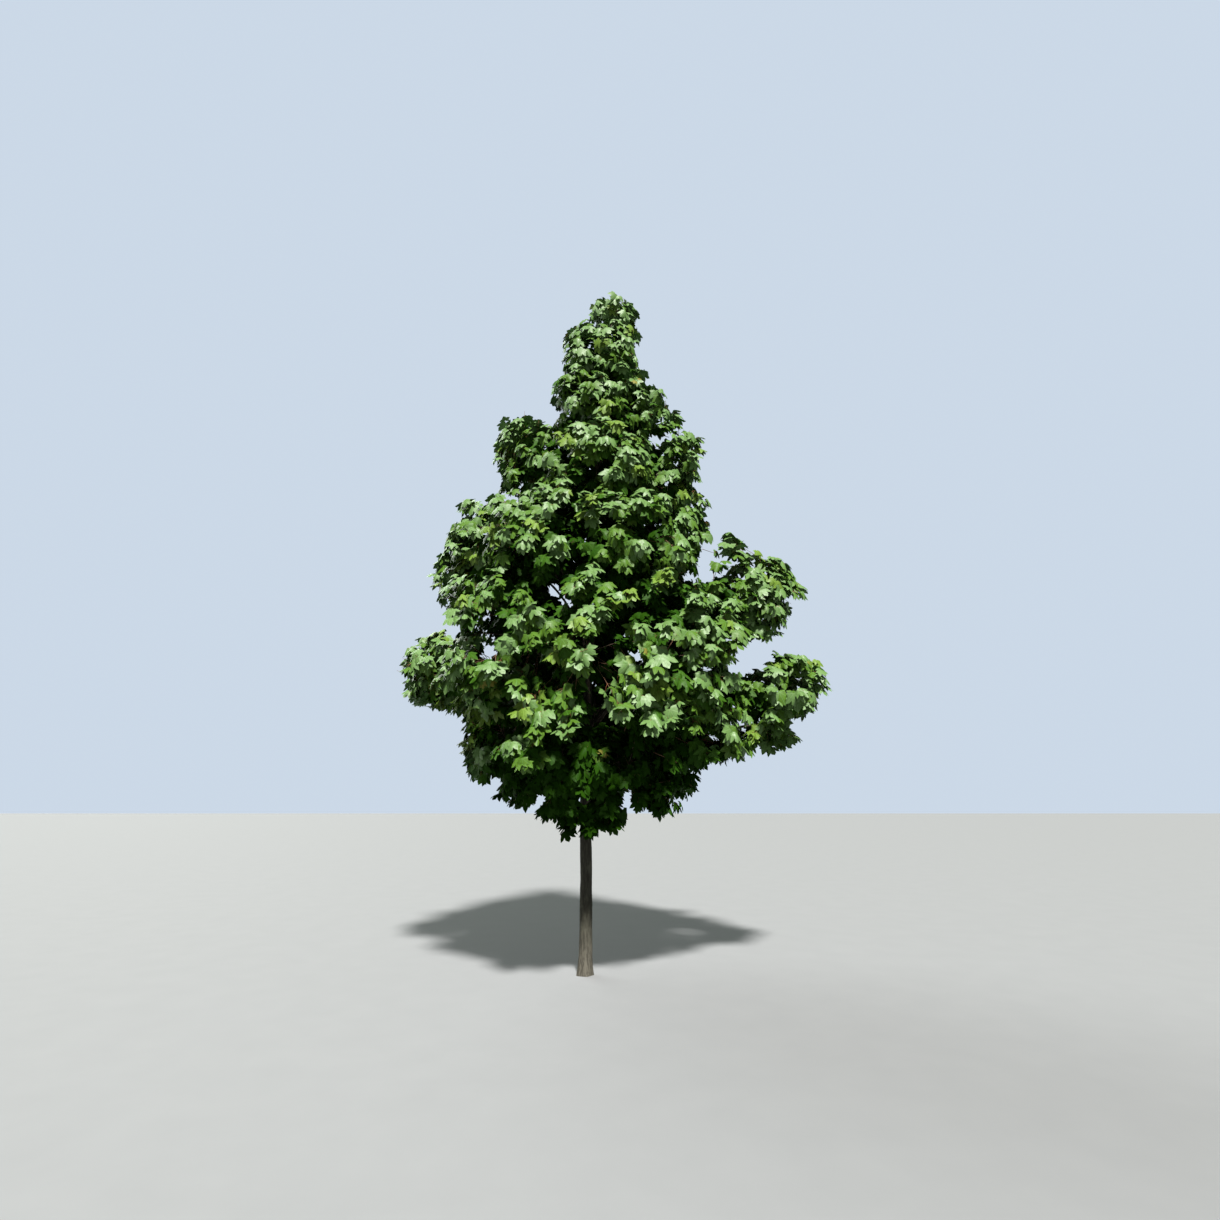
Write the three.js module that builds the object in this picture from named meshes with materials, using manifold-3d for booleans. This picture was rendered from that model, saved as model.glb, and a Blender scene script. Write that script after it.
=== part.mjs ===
// A young maple tree, standing on its own: one straight trunk that runs up through the crown
// to a leader, ascending boughs, and masses of large drooping three-lobed leaves on side twigs.
// Millimetres, +Z up. The origin is the middle of the flat cut under the trunk, at ground level.
// +X is to the right of a viewer who stands at -Y, and +Y is away from that viewer.
import * as THREE from "three";
import { mergeVertices } from "three/addons/utils/BufferGeometryUtils.js";
import Module from "manifold-3d";

const wasm = await Module();
wasm.setup();

// ---- Driving dimensions -------------------------------------------------------------------

const CLEARANCE = 0.3; // between pieces that meet

const TRUNK = {
  height: 6980, // where the leader's tip enters the top mass
  sides: 15, // three to each root ridge
  footRadius: 60,
  tipRadius: 10,
  taper: 0.92, // power of the taper from foot to tip
  flare: 26, // how far the root flare stands out at the ground
  flareHeight: 130, // height over which the flare dies away
  roots: 5,
  rootDepth: 0.13, // share of the radius by which root ridges stand out at the ground
  leanFrom: 4200, // above this height the leader leans to the right
  leanFull: 7400,
  lean: 280,
  leanPower: 1.6,
  sway: 14, // slow sideways wander of the stem
  swayLength: 2300,
};

const BOUGH = {
  sides: 6,
  rings: 4,
  footShare: 0.44, // foot radius as a share of the trunk's radius at the fork
  tipRadius: 13,
  collar: 1.35, // swelling where the bough leaves the trunk
  climbEarly: 0.66, // share of the rise that is won in the first part of the run
  runEarly: 0.42,
};

const TWIG = {
  sides: 3,
  stemSides: 4,
  stemRings: 3,
  stemTip: 9,
  foot: 5,
  tip: 4,
  count: 10, // side twigs in a mass, less those that have no room
  joints: [0.08, 0.2, 0.32, 0.44, 0.56, 0.68, 0.8, 0.9], // shares of the stem where twigs fork off
  spread: 55, // degrees between a side twig and its stem, as nearly as can be
  farthest: 0.85, // how far out twigs end, as a share of the way to the skin of their mass
  nearest: 0.4,
  raised: 0.3, // a twig ends this share of a leaf higher, as its leaf hangs down
  shortest: 90,
};

// Each leaf stands for a spray of some twenty real ones, so it is several times their size.
const LEAF = {
  length: 630,
  width: 650,
  thick: 8,
  stalk: 2.4,
  stalkLength: 26,
  lobe: { far: 0.38, wide: 1 },
  notch: { far: 0.56, wide: 0.55 },
  droop: 0.2, // share of its length by which a leaf's tip curls down
  fullHalf: 520, // a mass with smaller half sizes than this has smaller leaves
  smallest: 0.72,
  attempts: 20, // each one a little smaller than the last
  largest: 1.12,
  least: 0.6,
  proud: 1.15, // leaves may stand out of their mass's egg by this factor
  proudest: 1.2, // and those at the end of its stem by this one
  onStem: [
    [0.97, 0],
    [0.85, 1],
  ],
  onTwig: 0.6, // share of the twig's length where its side leaf is
};

const SPACE_GAP = 6; // half the gap kept between the spaces of two masses
const LIMB_GAP = 4; // kept between a twig or leaf and a limb that it isn't on

// Each mass: name, azimuth (0 = right, 90 = back), reach of its middle from the trunk's axis,
// height of its middle, half sizes (outward, sideways, upright), the tilt of its outward axis
// above level, how far outward its stem ends (a share of its half size), and the height at which
// its bough, or else its stem, leaves the trunk.
const MASSES = [
  { name: "tip", az: 0, reach: 0, height: 7300, half: [330, 330, 400] },
  { name: "top_left", az: 186, reach: 250, height: 6740, half: [320, 340, 440], stemAt: 6440 },
  { name: "top_front", az: 305, reach: 250, height: 6700, half: [330, 320, 420], stemAt: 6330 },
  { name: "top_back", az: 65, reach: 250, height: 6740, half: [330, 340, 420], stemAt: 6390 },
  { name: "high_left", az: 205, reach: 290, height: 6020, half: [390, 360, 460], stemAt: 5640 },
  { name: "high_right", az: 348, reach: 480, height: 6020, half: [370, 340, 400], tilt: -20, stemAt: 5580 },
  { name: "high_front", az: 275, reach: 330, height: 5860, half: [370, 400, 460], stemAt: 5480 },
  { name: "high_back", az: 95, reach: 370, height: 5950, half: [390, 420, 460], stemAt: 5530 },
  { name: "upper_left", az: 184, reach: 740, height: 5430, half: [450, 400, 520], boughAt: 4700 },
  { name: "upper_right", az: 352, reach: 840, height: 5180, half: [460, 440, 620], tilt: -15, boughAt: 4400 },
  { name: "upper_front", az: 278, reach: 600, height: 5060, half: [500, 520, 520], stemAt: 4520 },
  { name: "upper_back_left", az: 125, reach: 680, height: 5220, half: [500, 480, 520], stemAt: 4600 },
  { name: "upper_back_right", az: 55, reach: 680, height: 5300, half: [500, 480, 520], stemAt: 4680 },
  { name: "middle_left", az: 188, reach: 1130, height: 4280, half: [680, 500, 480], tilt: -52, out: -0.1, boughAt: 3350 },
  { name: "middle_right", az: 350, reach: 860, height: 4220, half: [560, 460, 540], boughAt: 3450 },
  { name: "middle_front_left", az: 240, reach: 840, height: 4120, half: [580, 520, 560], boughAt: 3150 },
  { name: "middle_front_right", az: 300, reach: 880, height: 4020, half: [600, 540, 580], boughAt: 3050 },
  { name: "middle_back_right", az: 45, reach: 1020, height: 4200, half: [620, 580, 620], tilt: -20, boughAt: 3300 },
  { name: "middle_back_left", az: 135, reach: 1040, height: 4160, half: [620, 580, 620], tilt: -20, boughAt: 3200 },
  { name: "arm_right_upper", az: 354, reach: 1690, height: 3700, half: [670, 460, 500], tilt: 22, out: 0.8, boughAt: 2300 },
  { name: "arm_left", az: 180, reach: 1530, height: 2960, half: [560, 480, 450], out: 0.8, boughAt: 2150 },
  { name: "low_front_left", az: 230, reach: 1160, height: 3100, half: [640, 560, 600], tilt: -20, boughAt: 2350 },
  { name: "low_front", az: 270, reach: 1160, height: 3000, half: [640, 560, 620], tilt: -20, boughAt: 2100 },
  { name: "low_front_right", az: 314, reach: 1280, height: 2980, half: [660, 560, 640], tilt: -20, boughAt: 2200 },
  { name: "low_back_right", az: 40, reach: 1440, height: 3100, half: [700, 620, 600], tilt: -20, boughAt: 2400 },
  { name: "low_back", az: 88, reach: 1480, height: 2960, half: [680, 580, 580], tilt: -20, boughAt: 2050 },
  { name: "low_back_left", az: 136, reach: 1420, height: 3060, half: [680, 620, 600], tilt: -20, boughAt: 2250 },
  { name: "arm_right_lower", az: 358, reach: 2020, height: 2630, half: [540, 440, 480], tilt: 24, out: 0.8, boughAt: 1850 },
  { name: "skirt_right", az: 345, reach: 1020, height: 2300, half: [620, 520, 540], boughAt: 1700 },
  { name: "skirt_left", az: 196, reach: 820, height: 2180, half: [520, 520, 580], boughAt: 1750 },
  { name: "skirt_front_left", az: 246, reach: 620, height: 1940, half: [480, 480, 540], boughAt: 1600 },
  { name: "skirt_front_right", az: 306, reach: 660, height: 1880, half: [500, 500, 520], boughAt: 1550 },
  { name: "skirt_back_right", az: 52, reach: 960, height: 2140, half: [600, 600, 580], boughAt: 1650 },
  { name: "skirt_back_left", az: 124, reach: 940, height: 2120, half: [600, 600, 580], boughAt: 1600 },
];

const BARK = new THREE.MeshStandardMaterial({ color: 0x6b5f52, roughness: 0.9, metalness: 0 });
const BOUGH_BARK = new THREE.MeshStandardMaterial({ color: 0x5d5044, roughness: 0.85, metalness: 0 });
const FOLIAGE = new THREE.MeshStandardMaterial({ color: 0x4f7a2c, roughness: 0.55, metalness: 0 });

// ---- Small helpers ------------------------------------------------------------------------

const UP = new THREE.Vector3(0, 0, 1);
const GOLDEN_ANGLE = Math.PI * (3 - Math.sqrt(5));
const radians = THREE.MathUtils.degToRad;
const mix = THREE.MathUtils.lerp;
const vec = (x, y, z) => new THREE.Vector3(x, y, z);

// A seeded stream of numbers from 0 to 1.
function stream(seed) {
  let state = (seed * 2654435761) >>> 0;
  return () => {
    state = (Math.imul(state, 1664525) + 1013904223) >>> 0;
    return state / 4294967296;
  };
}

// The point a share t along the smooth curve from a to c that is drawn towards b.
function curvePoint([a, b, c], t) {
  return vec(0, 0, 0)
    .addScaledVector(a, (1 - t) * (1 - t))
    .addScaledVector(b, 2 * t * (1 - t))
    .addScaledVector(c, t * t);
}

function curveAlong([a, b, c], t) {
  return vec(0, 0, 0)
    .addScaledVector(b.clone().sub(a), 1 - t)
    .addScaledVector(c.clone().sub(b), t)
    .normalize();
}

// A unit vector square to along, as near to the hint as can be.
function squareTo(along, hint) {
  const side = hint.clone().addScaledVector(along, -hint.dot(along));
  return side.normalize();
}

function solidFrom(positions, faces) {
  const geometry = new THREE.BufferGeometry();
  geometry.setAttribute("position", new THREE.Float32BufferAttribute(positions, 3));
  geometry.setIndex(faces);
  const merged = mergeVertices(geometry, 1e-4);
  return new wasm.Manifold(
    new wasm.Mesh({
      numProp: 3,
      vertProperties: merged.attributes.position.array,
      triVerts: new Uint32Array(merged.index.array),
    }),
  );
}

// A closed solid through rings of points, all with the same count and turning the same way. It
// ends in a flat face, or in a point if one is given.
function loft(rings, point) {
  const count = rings[0].length;
  const positions = [...rings.flat(), ...(point ? [point] : [])].flatMap((p) => [p.x, p.y, p.z]);
  const faces = [];
  for (let r = 0; r + 1 < rings.length; r++) {
    for (let s = 0; s < count; s++) {
      const a = r * count + s;
      const b = r * count + ((s + 1) % count);
      faces.push(a, b, b + count, a, b + count, a + count);
    }
  }
  const last = (rings.length - 1) * count;
  for (let s = 1; s + 1 < count; s++) {
    faces.push(0, s + 1, s);
    if (!point) faces.push(last, last + s, last + s + 1);
  }
  if (point) {
    for (let s = 0; s < count; s++) faces.push(last + s, last + ((s + 1) % count), last + count);
  }
  return solidFrom(positions, faces);
}

// A ring round a limb, with its over side towards the hint. An odd one has a corner below, and an
// even one a flat side, so that side twigs and leaf stalks leave from flat sides.
function ringAt(middle, along, hint, radius, sides) {
  const over = squareTo(along, hint);
  const right = over.clone().cross(along);
  const first = -Math.PI / 2 - (sides % 2 ? 0 : Math.PI / sides);
  const ring = [];
  for (let s = 0; s < sides; s++) {
    const turn = first + (2 * Math.PI * s) / sides;
    ring.push(
      middle
        .clone()
        .addScaledVector(right, Math.cos(turn) * radius)
        .addScaledVector(over, Math.sin(turn) * radius),
    );
  }
  return ring;
}

// The rings of a tapering limb along a curve; radiusAt gives its radius at a share of its length.
function limbRings(curve, radiusAt, hint, sides, count) {
  const rings = [];
  for (let r = 0; r <= count; r++) {
    const t = r / count;
    rings.push(ringAt(curvePoint(curve, t), curveAlong(curve, t), hint, radiusAt(t), sides));
  }
  return rings;
}

// ---- The trunk ----------------------------------------------------------------------------

function trunkAxis(z) {
  const rise = Math.max(0, (z - TRUNK.leanFrom) / (TRUNK.leanFull - TRUNK.leanFrom));
  const wander = TRUNK.sway * Math.sin((2 * Math.PI * z) / TRUNK.swayLength);
  return vec(TRUNK.lean * rise ** TRUNK.leanPower + wander * 0.5, wander, z);
}

function trunkRadius(z) {
  const taper = (1 - z / TRUNK.height) ** TRUNK.taper;
  return TRUNK.tipRadius + (TRUNK.footRadius - TRUNK.tipRadius) * taper;
}

// The trunk as a stack of rings; grown makes the slightly fatter copy that clears a cut.
function trunkSolid(grown) {
  const heights = [0, 45, 110, 200, 340, 600, 1000];
  for (let z = 1600; z < TRUNK.height - 300; z += 600) heights.push(z);
  heights.push(TRUNK.height);
  const rings = heights.map((z) => {
    const middle = trunkAxis(z);
    const fade = Math.exp(-z / TRUNK.flareHeight);
    const loop = [];
    for (let s = 0; s < TRUNK.sides; s++) {
      const turn = (2 * Math.PI * s) / TRUNK.sides;
      const ridge = 1 + TRUNK.rootDepth * fade * Math.cos(TRUNK.roots * turn);
      const radius = (trunkRadius(z) + TRUNK.flare * fade) * ridge + grown;
      loop.push(vec(middle.x + radius * Math.cos(turn), middle.y + radius * Math.sin(turn), z));
    }
    return loop;
  });
  return loft(rings);
}

// ---- The spaces of the masses -------------------------------------------------------------

// Middle, axes and half sizes of the egg-shaped space that a mass fills.
function layOut(mass, index) {
  const turn = radians(mass.az);
  const lift = radians(mass.tilt ?? 0);
  const outward = vec(Math.cos(turn), Math.sin(turn), 0);
  const sideways = vec(-Math.sin(turn), Math.cos(turn), 0);
  mass.index = index;
  mass.middle = trunkAxis(mass.height).addScaledVector(outward, mass.reach);
  mass.axes = [
    outward.clone().multiplyScalar(Math.cos(lift)).addScaledVector(UP, Math.sin(lift)),
    sideways,
    UP.clone().multiplyScalar(Math.cos(lift)).addScaledVector(outward, -Math.sin(lift)),
  ];
}

// How far the mass reaches from its middle along a direction.
function support(mass, direction) {
  return Math.hypot(...mass.axes.map((axis, i) => axis.dot(direction) * mass.half[i]));
}

// Flat walls between a mass and each neighbour, in proportion to their sizes.
function wallsOf(mass) {
  const walls = [];
  for (const other of MASSES) {
    if (other === mass) continue;
    const normal = other.middle.clone().sub(mass.middle);
    const distance = normal.length();
    normal.normalize();
    const mine = support(mass, normal);
    const theirs = support(other, normal);
    if ((mine + theirs) * 1.3 < distance) continue;
    walls.push({ normal, limit: (distance * mine) / (mine + theirs) - SPACE_GAP });
  }
  return walls;
}

// 0 at the middle of the mass's egg and 1 on its skin.
function depthOf(mass, point) {
  const from = point.clone().sub(mass.middle);
  return Math.hypot(...mass.axes.map((axis, i) => axis.dot(from) / mass.half[i]));
}

function inSpace(mass, point, skin, margin) {
  if (depthOf(mass, point) > skin) return false;
  const from = point.clone().sub(mass.middle);
  return mass.walls.every((wall) => wall.normal.dot(from) < wall.limit - margin);
}

// ---- Limbs --------------------------------------------------------------------------------

// Where a mass's stem starts and ends: it comes in low on the trunk's side and ends high up.
function stemEnds(mass) {
  const [outward, , upright] = mass.axes;
  const out = mass.out ?? 0.4;
  const enter = mass.middle
    .clone()
    .addScaledVector(outward, -0.5 * mass.half[0])
    .addScaledVector(upright, -0.34 * mass.half[2]);
  const end = mass.middle
    .clone()
    .addScaledVector(outward, out * mass.half[0])
    .addScaledVector(UP, 0.88 * Math.sqrt(1 - out * out) * support(mass, UP));
  return { enter, end };
}

function planLimbs(mass) {
  const { enter, end } = stemEnds(mass);
  const random = stream(mass.index + 11);
  const bendSide = (random() - 0.5) * 0.16;
  const footHeight = mass.boughAt ?? mass.stemAt;
  if (footHeight === undefined) {
    const foot = trunkAxis(TRUNK.height + CLEARANCE);
    mass.stem = [foot, vec(foot.x, foot.y, mass.height), end];
    mass.stemFoot = TRUNK.tipRadius;
    return;
  }
  const foot = trunkAxis(footHeight);
  const goal = mass.boughAt ? enter : end;
  const run = goal.clone().sub(foot);
  const level = vec(run.x, run.y, 0);
  const bend = foot
    .clone()
    .addScaledVector(level, BOUGH.runEarly)
    .addScaledVector(vec(-level.y, level.x, 0), bendSide);
  bend.z += run.z * (mass.boughAt ? BOUGH.climbEarly : 0.5);
  const footRadius = trunkRadius(footHeight) * BOUGH.footShare;
  if (mass.boughAt) {
    mass.bough = [foot, bend, goal];
    mass.boughFoot = footRadius;
    const along = curveAlong(mass.bough, 1);
    const start = goal.clone().addScaledVector(along, CLEARANCE);
    const towards = start.clone().addScaledVector(along, 0.4 * start.distanceTo(end));
    mass.stem = [start, towards, end];
    mass.stemFoot = BOUGH.tipRadius;
  } else {
    mass.stem = [foot, bend, goal];
    mass.stemFoot = Math.min(footRadius, BOUGH.tipRadius);
  }
}

function boughRadius(mass, t) {
  const swell = 1 + (BOUGH.collar - 1) * Math.exp(-t / 0.08);
  return mix(mass.boughFoot, BOUGH.tipRadius, t ** 0.8) * swell;
}

function stemRadius(mass, t) {
  return mix(mass.stemFoot, TWIG.stemTip, t);
}

// Balls strung along every limb, close enough together to stand for it.
function beadsAlong(curve, radiusAt, owner) {
  const beads = [];
  const count = Math.ceil(curve[0].distanceTo(curve[2]) / 16);
  for (let i = 0; i <= count; i++) {
    beads.push({ at: curvePoint(curve, i / count), radius: radiusAt(i / count), owner });
  }
  return beads;
}

function allBeads() {
  const beads = [];
  for (let z = 0; z <= TRUNK.height; z += 14) {
    beads.push({ at: trunkAxis(z), radius: trunkRadius(z), owner: null });
  }
  for (const mass of MASSES) {
    if (mass.bough) beads.push(...beadsAlong(mass.bough, (t) => boughRadius(mass, t), null));
    if (mass.stemAt) beads.push(...beadsAlong(mass.stem, (t) => stemRadius(mass, t), mass));
  }
  return beads;
}

// True if a triangle comes too near a limb. A stem never counts against its own mass.
function touchesLimb(mass, corners, thickness) {
  const triangle = new THREE.Triangle(...corners);
  const nearest = vec(0, 0, 0);
  return mass.nearBeads.some((bead) => {
    triangle.closestPointToPoint(bead.at, nearest);
    return nearest.distanceTo(bead.at) < bead.radius + thickness + LIMB_GAP;
  });
}

// ---- Leaves -------------------------------------------------------------------------------

// A leaf from its root: where its tip lies along, which way its face looks, and its size. Its
// blade is flat on top with a keel below, widest at the side lobes and narrow at the notches.
function leafShape(root, along, face, size) {
  const across = face.clone().cross(along);
  const at = (far, wide, down) =>
    root
      .clone()
      .addScaledVector(along, far * LEAF.length * size)
      .addScaledVector(across, (wide * LEAF.width * size) / 2)
      .addScaledVector(face, -LEAF.droop * LEAF.length * size * far * far - down);
  return {
    rings: [LEAF.lobe, LEAF.notch].map(({ far, wide }) => [
      at(far, 0, LEAF.thick),
      at(far, wide, 0),
      at(far, -wide, 0),
    ]),
    tip: at(1, 0, 0),
  };
}

// The flat upper side of a leaf, as triangles.
function leafTop(root, { rings, tip }) {
  const [[, lobe, otherLobe], [, notch, otherNotch]] = rings;
  return [
    [root, lobe, otherLobe],
    [lobe, notch, otherNotch],
    [lobe, otherNotch, otherLobe],
    [notch, tip, otherNotch],
  ];
}

// True if an edge of either set of triangles runs through a triangle of the other.
function crosses(mine, theirs) {
  const ray = new THREE.Ray();
  const hit = vec(0, 0, 0);
  const pierces = (edges, triangles) =>
    edges.some((edge) =>
      edge.some((from, i) => {
        const to = edge[(i + 1) % 3];
        const length = from.distanceTo(to);
        ray.set(from, to.clone().sub(from).divideScalar(length));
        return triangles.some(
          ([a, b, c]) =>
            ray.intersectTriangle(a, b, c, false, hit) && hit.distanceTo(from) < length,
        );
      }),
    );
  return pierces(mine, theirs) || pierces(theirs, mine);
}

// Finds a way for a leaf to hang from a point of its twig. Leaves lie on the outside of their
// mass like shingles: the face looks outward and up, and the tip hangs down and away. Gives null
// where no leaf has room.
function hangLeaf(mass, twig, root, lean, random) {
  const outward = root.clone().sub(mass.middle).normalize();
  for (let attempt = 0; attempt < LEAF.attempts; attempt++) {
    const size = mass.leafSize * mix(LEAF.largest, LEAF.least, attempt / LEAF.attempts);
    const stray = () => vec(random() - 0.5, random() - 0.5, random() - 0.5);
    const face = outward
      .clone()
      .addScaledVector(UP, 0.12)
      .addScaledVector(stray(), 0.8 + 0.06 * attempt)
      .normalize();
    const fall = lean
      .clone()
      .addScaledVector(UP, -0.8)
      .addScaledVector(stray(), 1.2 + 0.06 * attempt);
    const along = squareTo(face, fall);
    const leaf = leafShape(root, along, face, size);
    const top = leafTop(root, leaf);
    const inside = top.flat().every((p) => p === root || inSpace(mass, p, twig.skin, LEAF.thick));
    if (!inside || top.some((triangle) => touchesLimb(mass, triangle, LEAF.thick))) continue;
    if (mass.taken.some((other) => other.twig !== twig && crosses(top, other.triangles))) continue;
    mass.taken.push({ twig: null, triangles: top });
    return { ...leaf, root, along, face };
  }
  return null;
}

// ---- A mass of foliage --------------------------------------------------------------------

// The point a share of the way from the middle of a mass to its skin, in one of a set of
// directions that are spread evenly all round.
function spreadPoint(mass, i, twist, share) {
  const height = 1 - (2 * (i + 0.5)) / TWIG.count;
  const level = Math.sqrt(1 - height * height);
  const turn = i * GOLDEN_ANGLE + twist;
  const parts = [Math.cos(turn) * level, Math.sin(turn) * level, height];
  const point = mass.middle.clone();
  mass.axes.forEach((axis, k) => point.addScaledVector(axis, parts[k] * mass.half[k] * share));
  return point;
}

// Twigs fork off at joints along the stem, two at most from each. A twig to a point takes the
// joint where it makes most nearly the right angle with the stem.
function pickJoint(mass, joints, point) {
  const missAt = (joint) => {
    const way = point.clone().sub(curvePoint(mass.stem, joint.share));
    return Math.abs(way.angleTo(curveAlong(mass.stem, joint.share)) - radians(TWIG.spread));
  };
  const free = joints.filter((joint) => joint.twigs < 2);
  return free.reduce((best, joint) => (missAt(joint) < missAt(best) ? joint : best));
}

// Side twigs run from the stem of a mass out to points spread evenly over its skin, except where
// a neighbour's space leaves no room.
function sideTwigs(mass) {
  const twist = stream(mass.index + 101)() * 2 * Math.PI;
  const leafLength = LEAF.length * mass.leafSize;
  const joints = TWIG.joints.map((share) => ({ share, twigs: 0 }));
  const twigs = [];
  for (let i = 0; i < TWIG.count; i++) {
    let share = TWIG.farthest;
    let end;
    do {
      end = spreadPoint(mass, i, twist, share).addScaledVector(UP, TWIG.raised * leafLength);
      share -= 0.05;
    } while (share > TWIG.nearest && !inSpace(mass, end, 0.92, 30));
    if (share <= TWIG.nearest) continue;
    const joint = pickJoint(mass, joints, end);
    const start = curvePoint(mass.stem, joint.share);
    const bend = start.clone().lerp(end, 0.5).addScaledVector(curveAlong(mass.stem, joint.share), 20);
    const curve = [start, bend, end];
    if (start.distanceTo(end) < TWIG.shortest || touchesLimb(mass, curve, TWIG.foot)) continue;
    joint.twigs++;
    const sideLeaf = i % 2 ? null : [LEAF.onTwig, i % 4 ? 1 : -1];
    twigs.push({ curve, sideLeaf, skin: LEAF.proud });
  }
  return twigs;
}

// A twig and the leaf at its tip are one solid. Without room for that leaf there is no twig.
function leafyTwig(mass, twig, random) {
  const lean = curveAlong(twig.curve, 1).multiplyScalar(0.6);
  const leaf = hangLeaf(mass, twig, twig.curve[2], lean, random);
  if (!leaf) return [];
  const rings = limbRings(twig.curve, (t) => mix(TWIG.foot, TWIG.tip, t), leaf.face, TWIG.sides, 1);
  return [loft([...rings, ...leaf.rings], leaf.tip)];
}

// Leaves that stand on short stalks along a twig or a stem. Each spot is a share of its length
// and the side that the leaf is on.
function stalkedLeaves(mass, twig, spots, random) {
  const solids = [];
  for (const [share, sign] of spots) {
    const root = curvePoint(twig.curve, share);
    const along = curveAlong(twig.curve, share);
    const lean = squareTo(along, vec(-along.y, along.x, 0.05)).multiplyScalar(sign).add(along);
    const leaf = hangLeaf(mass, twig, root, lean, random);
    if (!leaf) continue;
    const stalk = [0, LEAF.stalkLength].map((far) => {
      const middle = root.clone().addScaledVector(leaf.along, far);
      return ringAt(middle, leaf.along, leaf.face, LEAF.stalk, TWIG.sides);
    });
    solids.push(loft([...stalk, ...leaf.rings], leaf.tip));
  }
  return solids;
}

function massSolid(mass, trunkGrown) {
  const random = stream(mass.index + 1001);
  mass.leafSize = Math.max(Math.min(...mass.half, LEAF.fullHalf) / LEAF.fullHalf, LEAF.smallest);
  const stem = { curve: mass.stem, skin: LEAF.proudest };
  const twigs = sideTwigs(mass);
  mass.taken = [stem, ...twigs].map((twig) => ({ twig, triangles: [twig.curve] }));
  const radiusAt = (t) => stemRadius(mass, t);
  const solids = [loft(limbRings(mass.stem, radiusAt, UP, TWIG.stemSides, TWIG.stemRings))];
  solids.push(...stalkedLeaves(mass, stem, LEAF.onStem, random));
  for (const twig of twigs) {
    const tipped = leafyTwig(mass, twig, random);
    if (tipped.length && twig.sideLeaf) {
      tipped.push(...stalkedLeaves(mass, twig, [twig.sideLeaf], random));
    }
    solids.push(...tipped);
  }
  let whole = wasm.Manifold.union(solids);
  if (mass.stemAt) whole = whole.subtract(trunkGrown);
  const bodies = whole.decompose().sort((a, b) => b.volume() - a.volume());
  return bodies[0];
}

// ---- Assembly -----------------------------------------------------------------------------

function nodeFrom(name, solid, material) {
  const mesh = solid.getMesh();
  const geometry = new THREE.BufferGeometry();
  geometry.setAttribute("position", new THREE.BufferAttribute(mesh.vertProperties, 3));
  geometry.setIndex(new THREE.BufferAttribute(mesh.triVerts, 1));
  geometry.computeVertexNormals();
  const node = new THREE.Mesh(geometry, material);
  node.name = name;
  return node;
}

const tree = new THREE.Group();
tree.name = "maple_tree";

MASSES.forEach(layOut);
MASSES.forEach((mass) => (mass.walls = wallsOf(mass)));
MASSES.forEach(planLimbs);
const beads = allBeads();
const trunkGrown = trunkSolid(CLEARANCE);

tree.add(nodeFrom("trunk", trunkSolid(0), BARK));

const boughs = new THREE.Group();
for (const mass of MASSES.filter((m) => m.bough)) {
  const radiusAt = (t) => boughRadius(mass, t);
  const solid = loft(limbRings(mass.bough, radiusAt, UP, BOUGH.sides, BOUGH.rings));
  boughs.add(nodeFrom(`bough_${mass.name}`, solid.subtract(trunkGrown), BOUGH_BARK));
}
tree.add(boughs);

const foliage = new THREE.Group();
for (const mass of MASSES) {
  const far = Math.max(...mass.half) * 1.3;
  mass.nearBeads = beads.filter((b) => b.owner !== mass && b.at.distanceTo(mass.middle) < far);
  foliage.add(nodeFrom(`foliage_${mass.name}`, massSolid(mass, trunkGrown), FOLIAGE));
}
tree.add(foliage);

export default tree;
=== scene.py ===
import math

import bpy
import numpy as np
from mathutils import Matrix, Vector
from mathutils import noise as lumps


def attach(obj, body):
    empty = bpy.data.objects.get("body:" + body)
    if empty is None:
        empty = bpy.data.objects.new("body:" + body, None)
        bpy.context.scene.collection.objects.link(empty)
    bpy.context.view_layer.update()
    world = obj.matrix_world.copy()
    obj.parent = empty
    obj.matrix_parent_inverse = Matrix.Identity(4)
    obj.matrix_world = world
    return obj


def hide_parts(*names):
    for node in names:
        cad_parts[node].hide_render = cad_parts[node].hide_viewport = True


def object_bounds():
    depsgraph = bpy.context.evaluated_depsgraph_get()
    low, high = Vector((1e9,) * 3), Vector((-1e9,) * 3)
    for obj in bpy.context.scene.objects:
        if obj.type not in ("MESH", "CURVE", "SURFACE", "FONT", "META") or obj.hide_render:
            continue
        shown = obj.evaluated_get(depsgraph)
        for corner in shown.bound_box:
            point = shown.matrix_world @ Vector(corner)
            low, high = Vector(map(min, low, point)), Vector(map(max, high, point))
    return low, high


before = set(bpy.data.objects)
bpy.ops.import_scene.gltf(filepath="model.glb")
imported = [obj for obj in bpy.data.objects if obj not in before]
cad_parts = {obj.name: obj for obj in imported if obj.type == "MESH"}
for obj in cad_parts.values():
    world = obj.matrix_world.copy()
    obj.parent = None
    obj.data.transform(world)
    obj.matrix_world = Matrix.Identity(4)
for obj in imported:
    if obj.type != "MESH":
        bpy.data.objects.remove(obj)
cad_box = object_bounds()

# ---- The trunk -----------------------------------------------------------------------------
# One stem, straight below and leaning to the right at its leader, with a low root flare. It is
# live wood under thin grey-brown bark with shallow furrows. Its cage is drawn up ring by ring
# from the cut at the ground, smoothed, and given the bark's relief.

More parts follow.
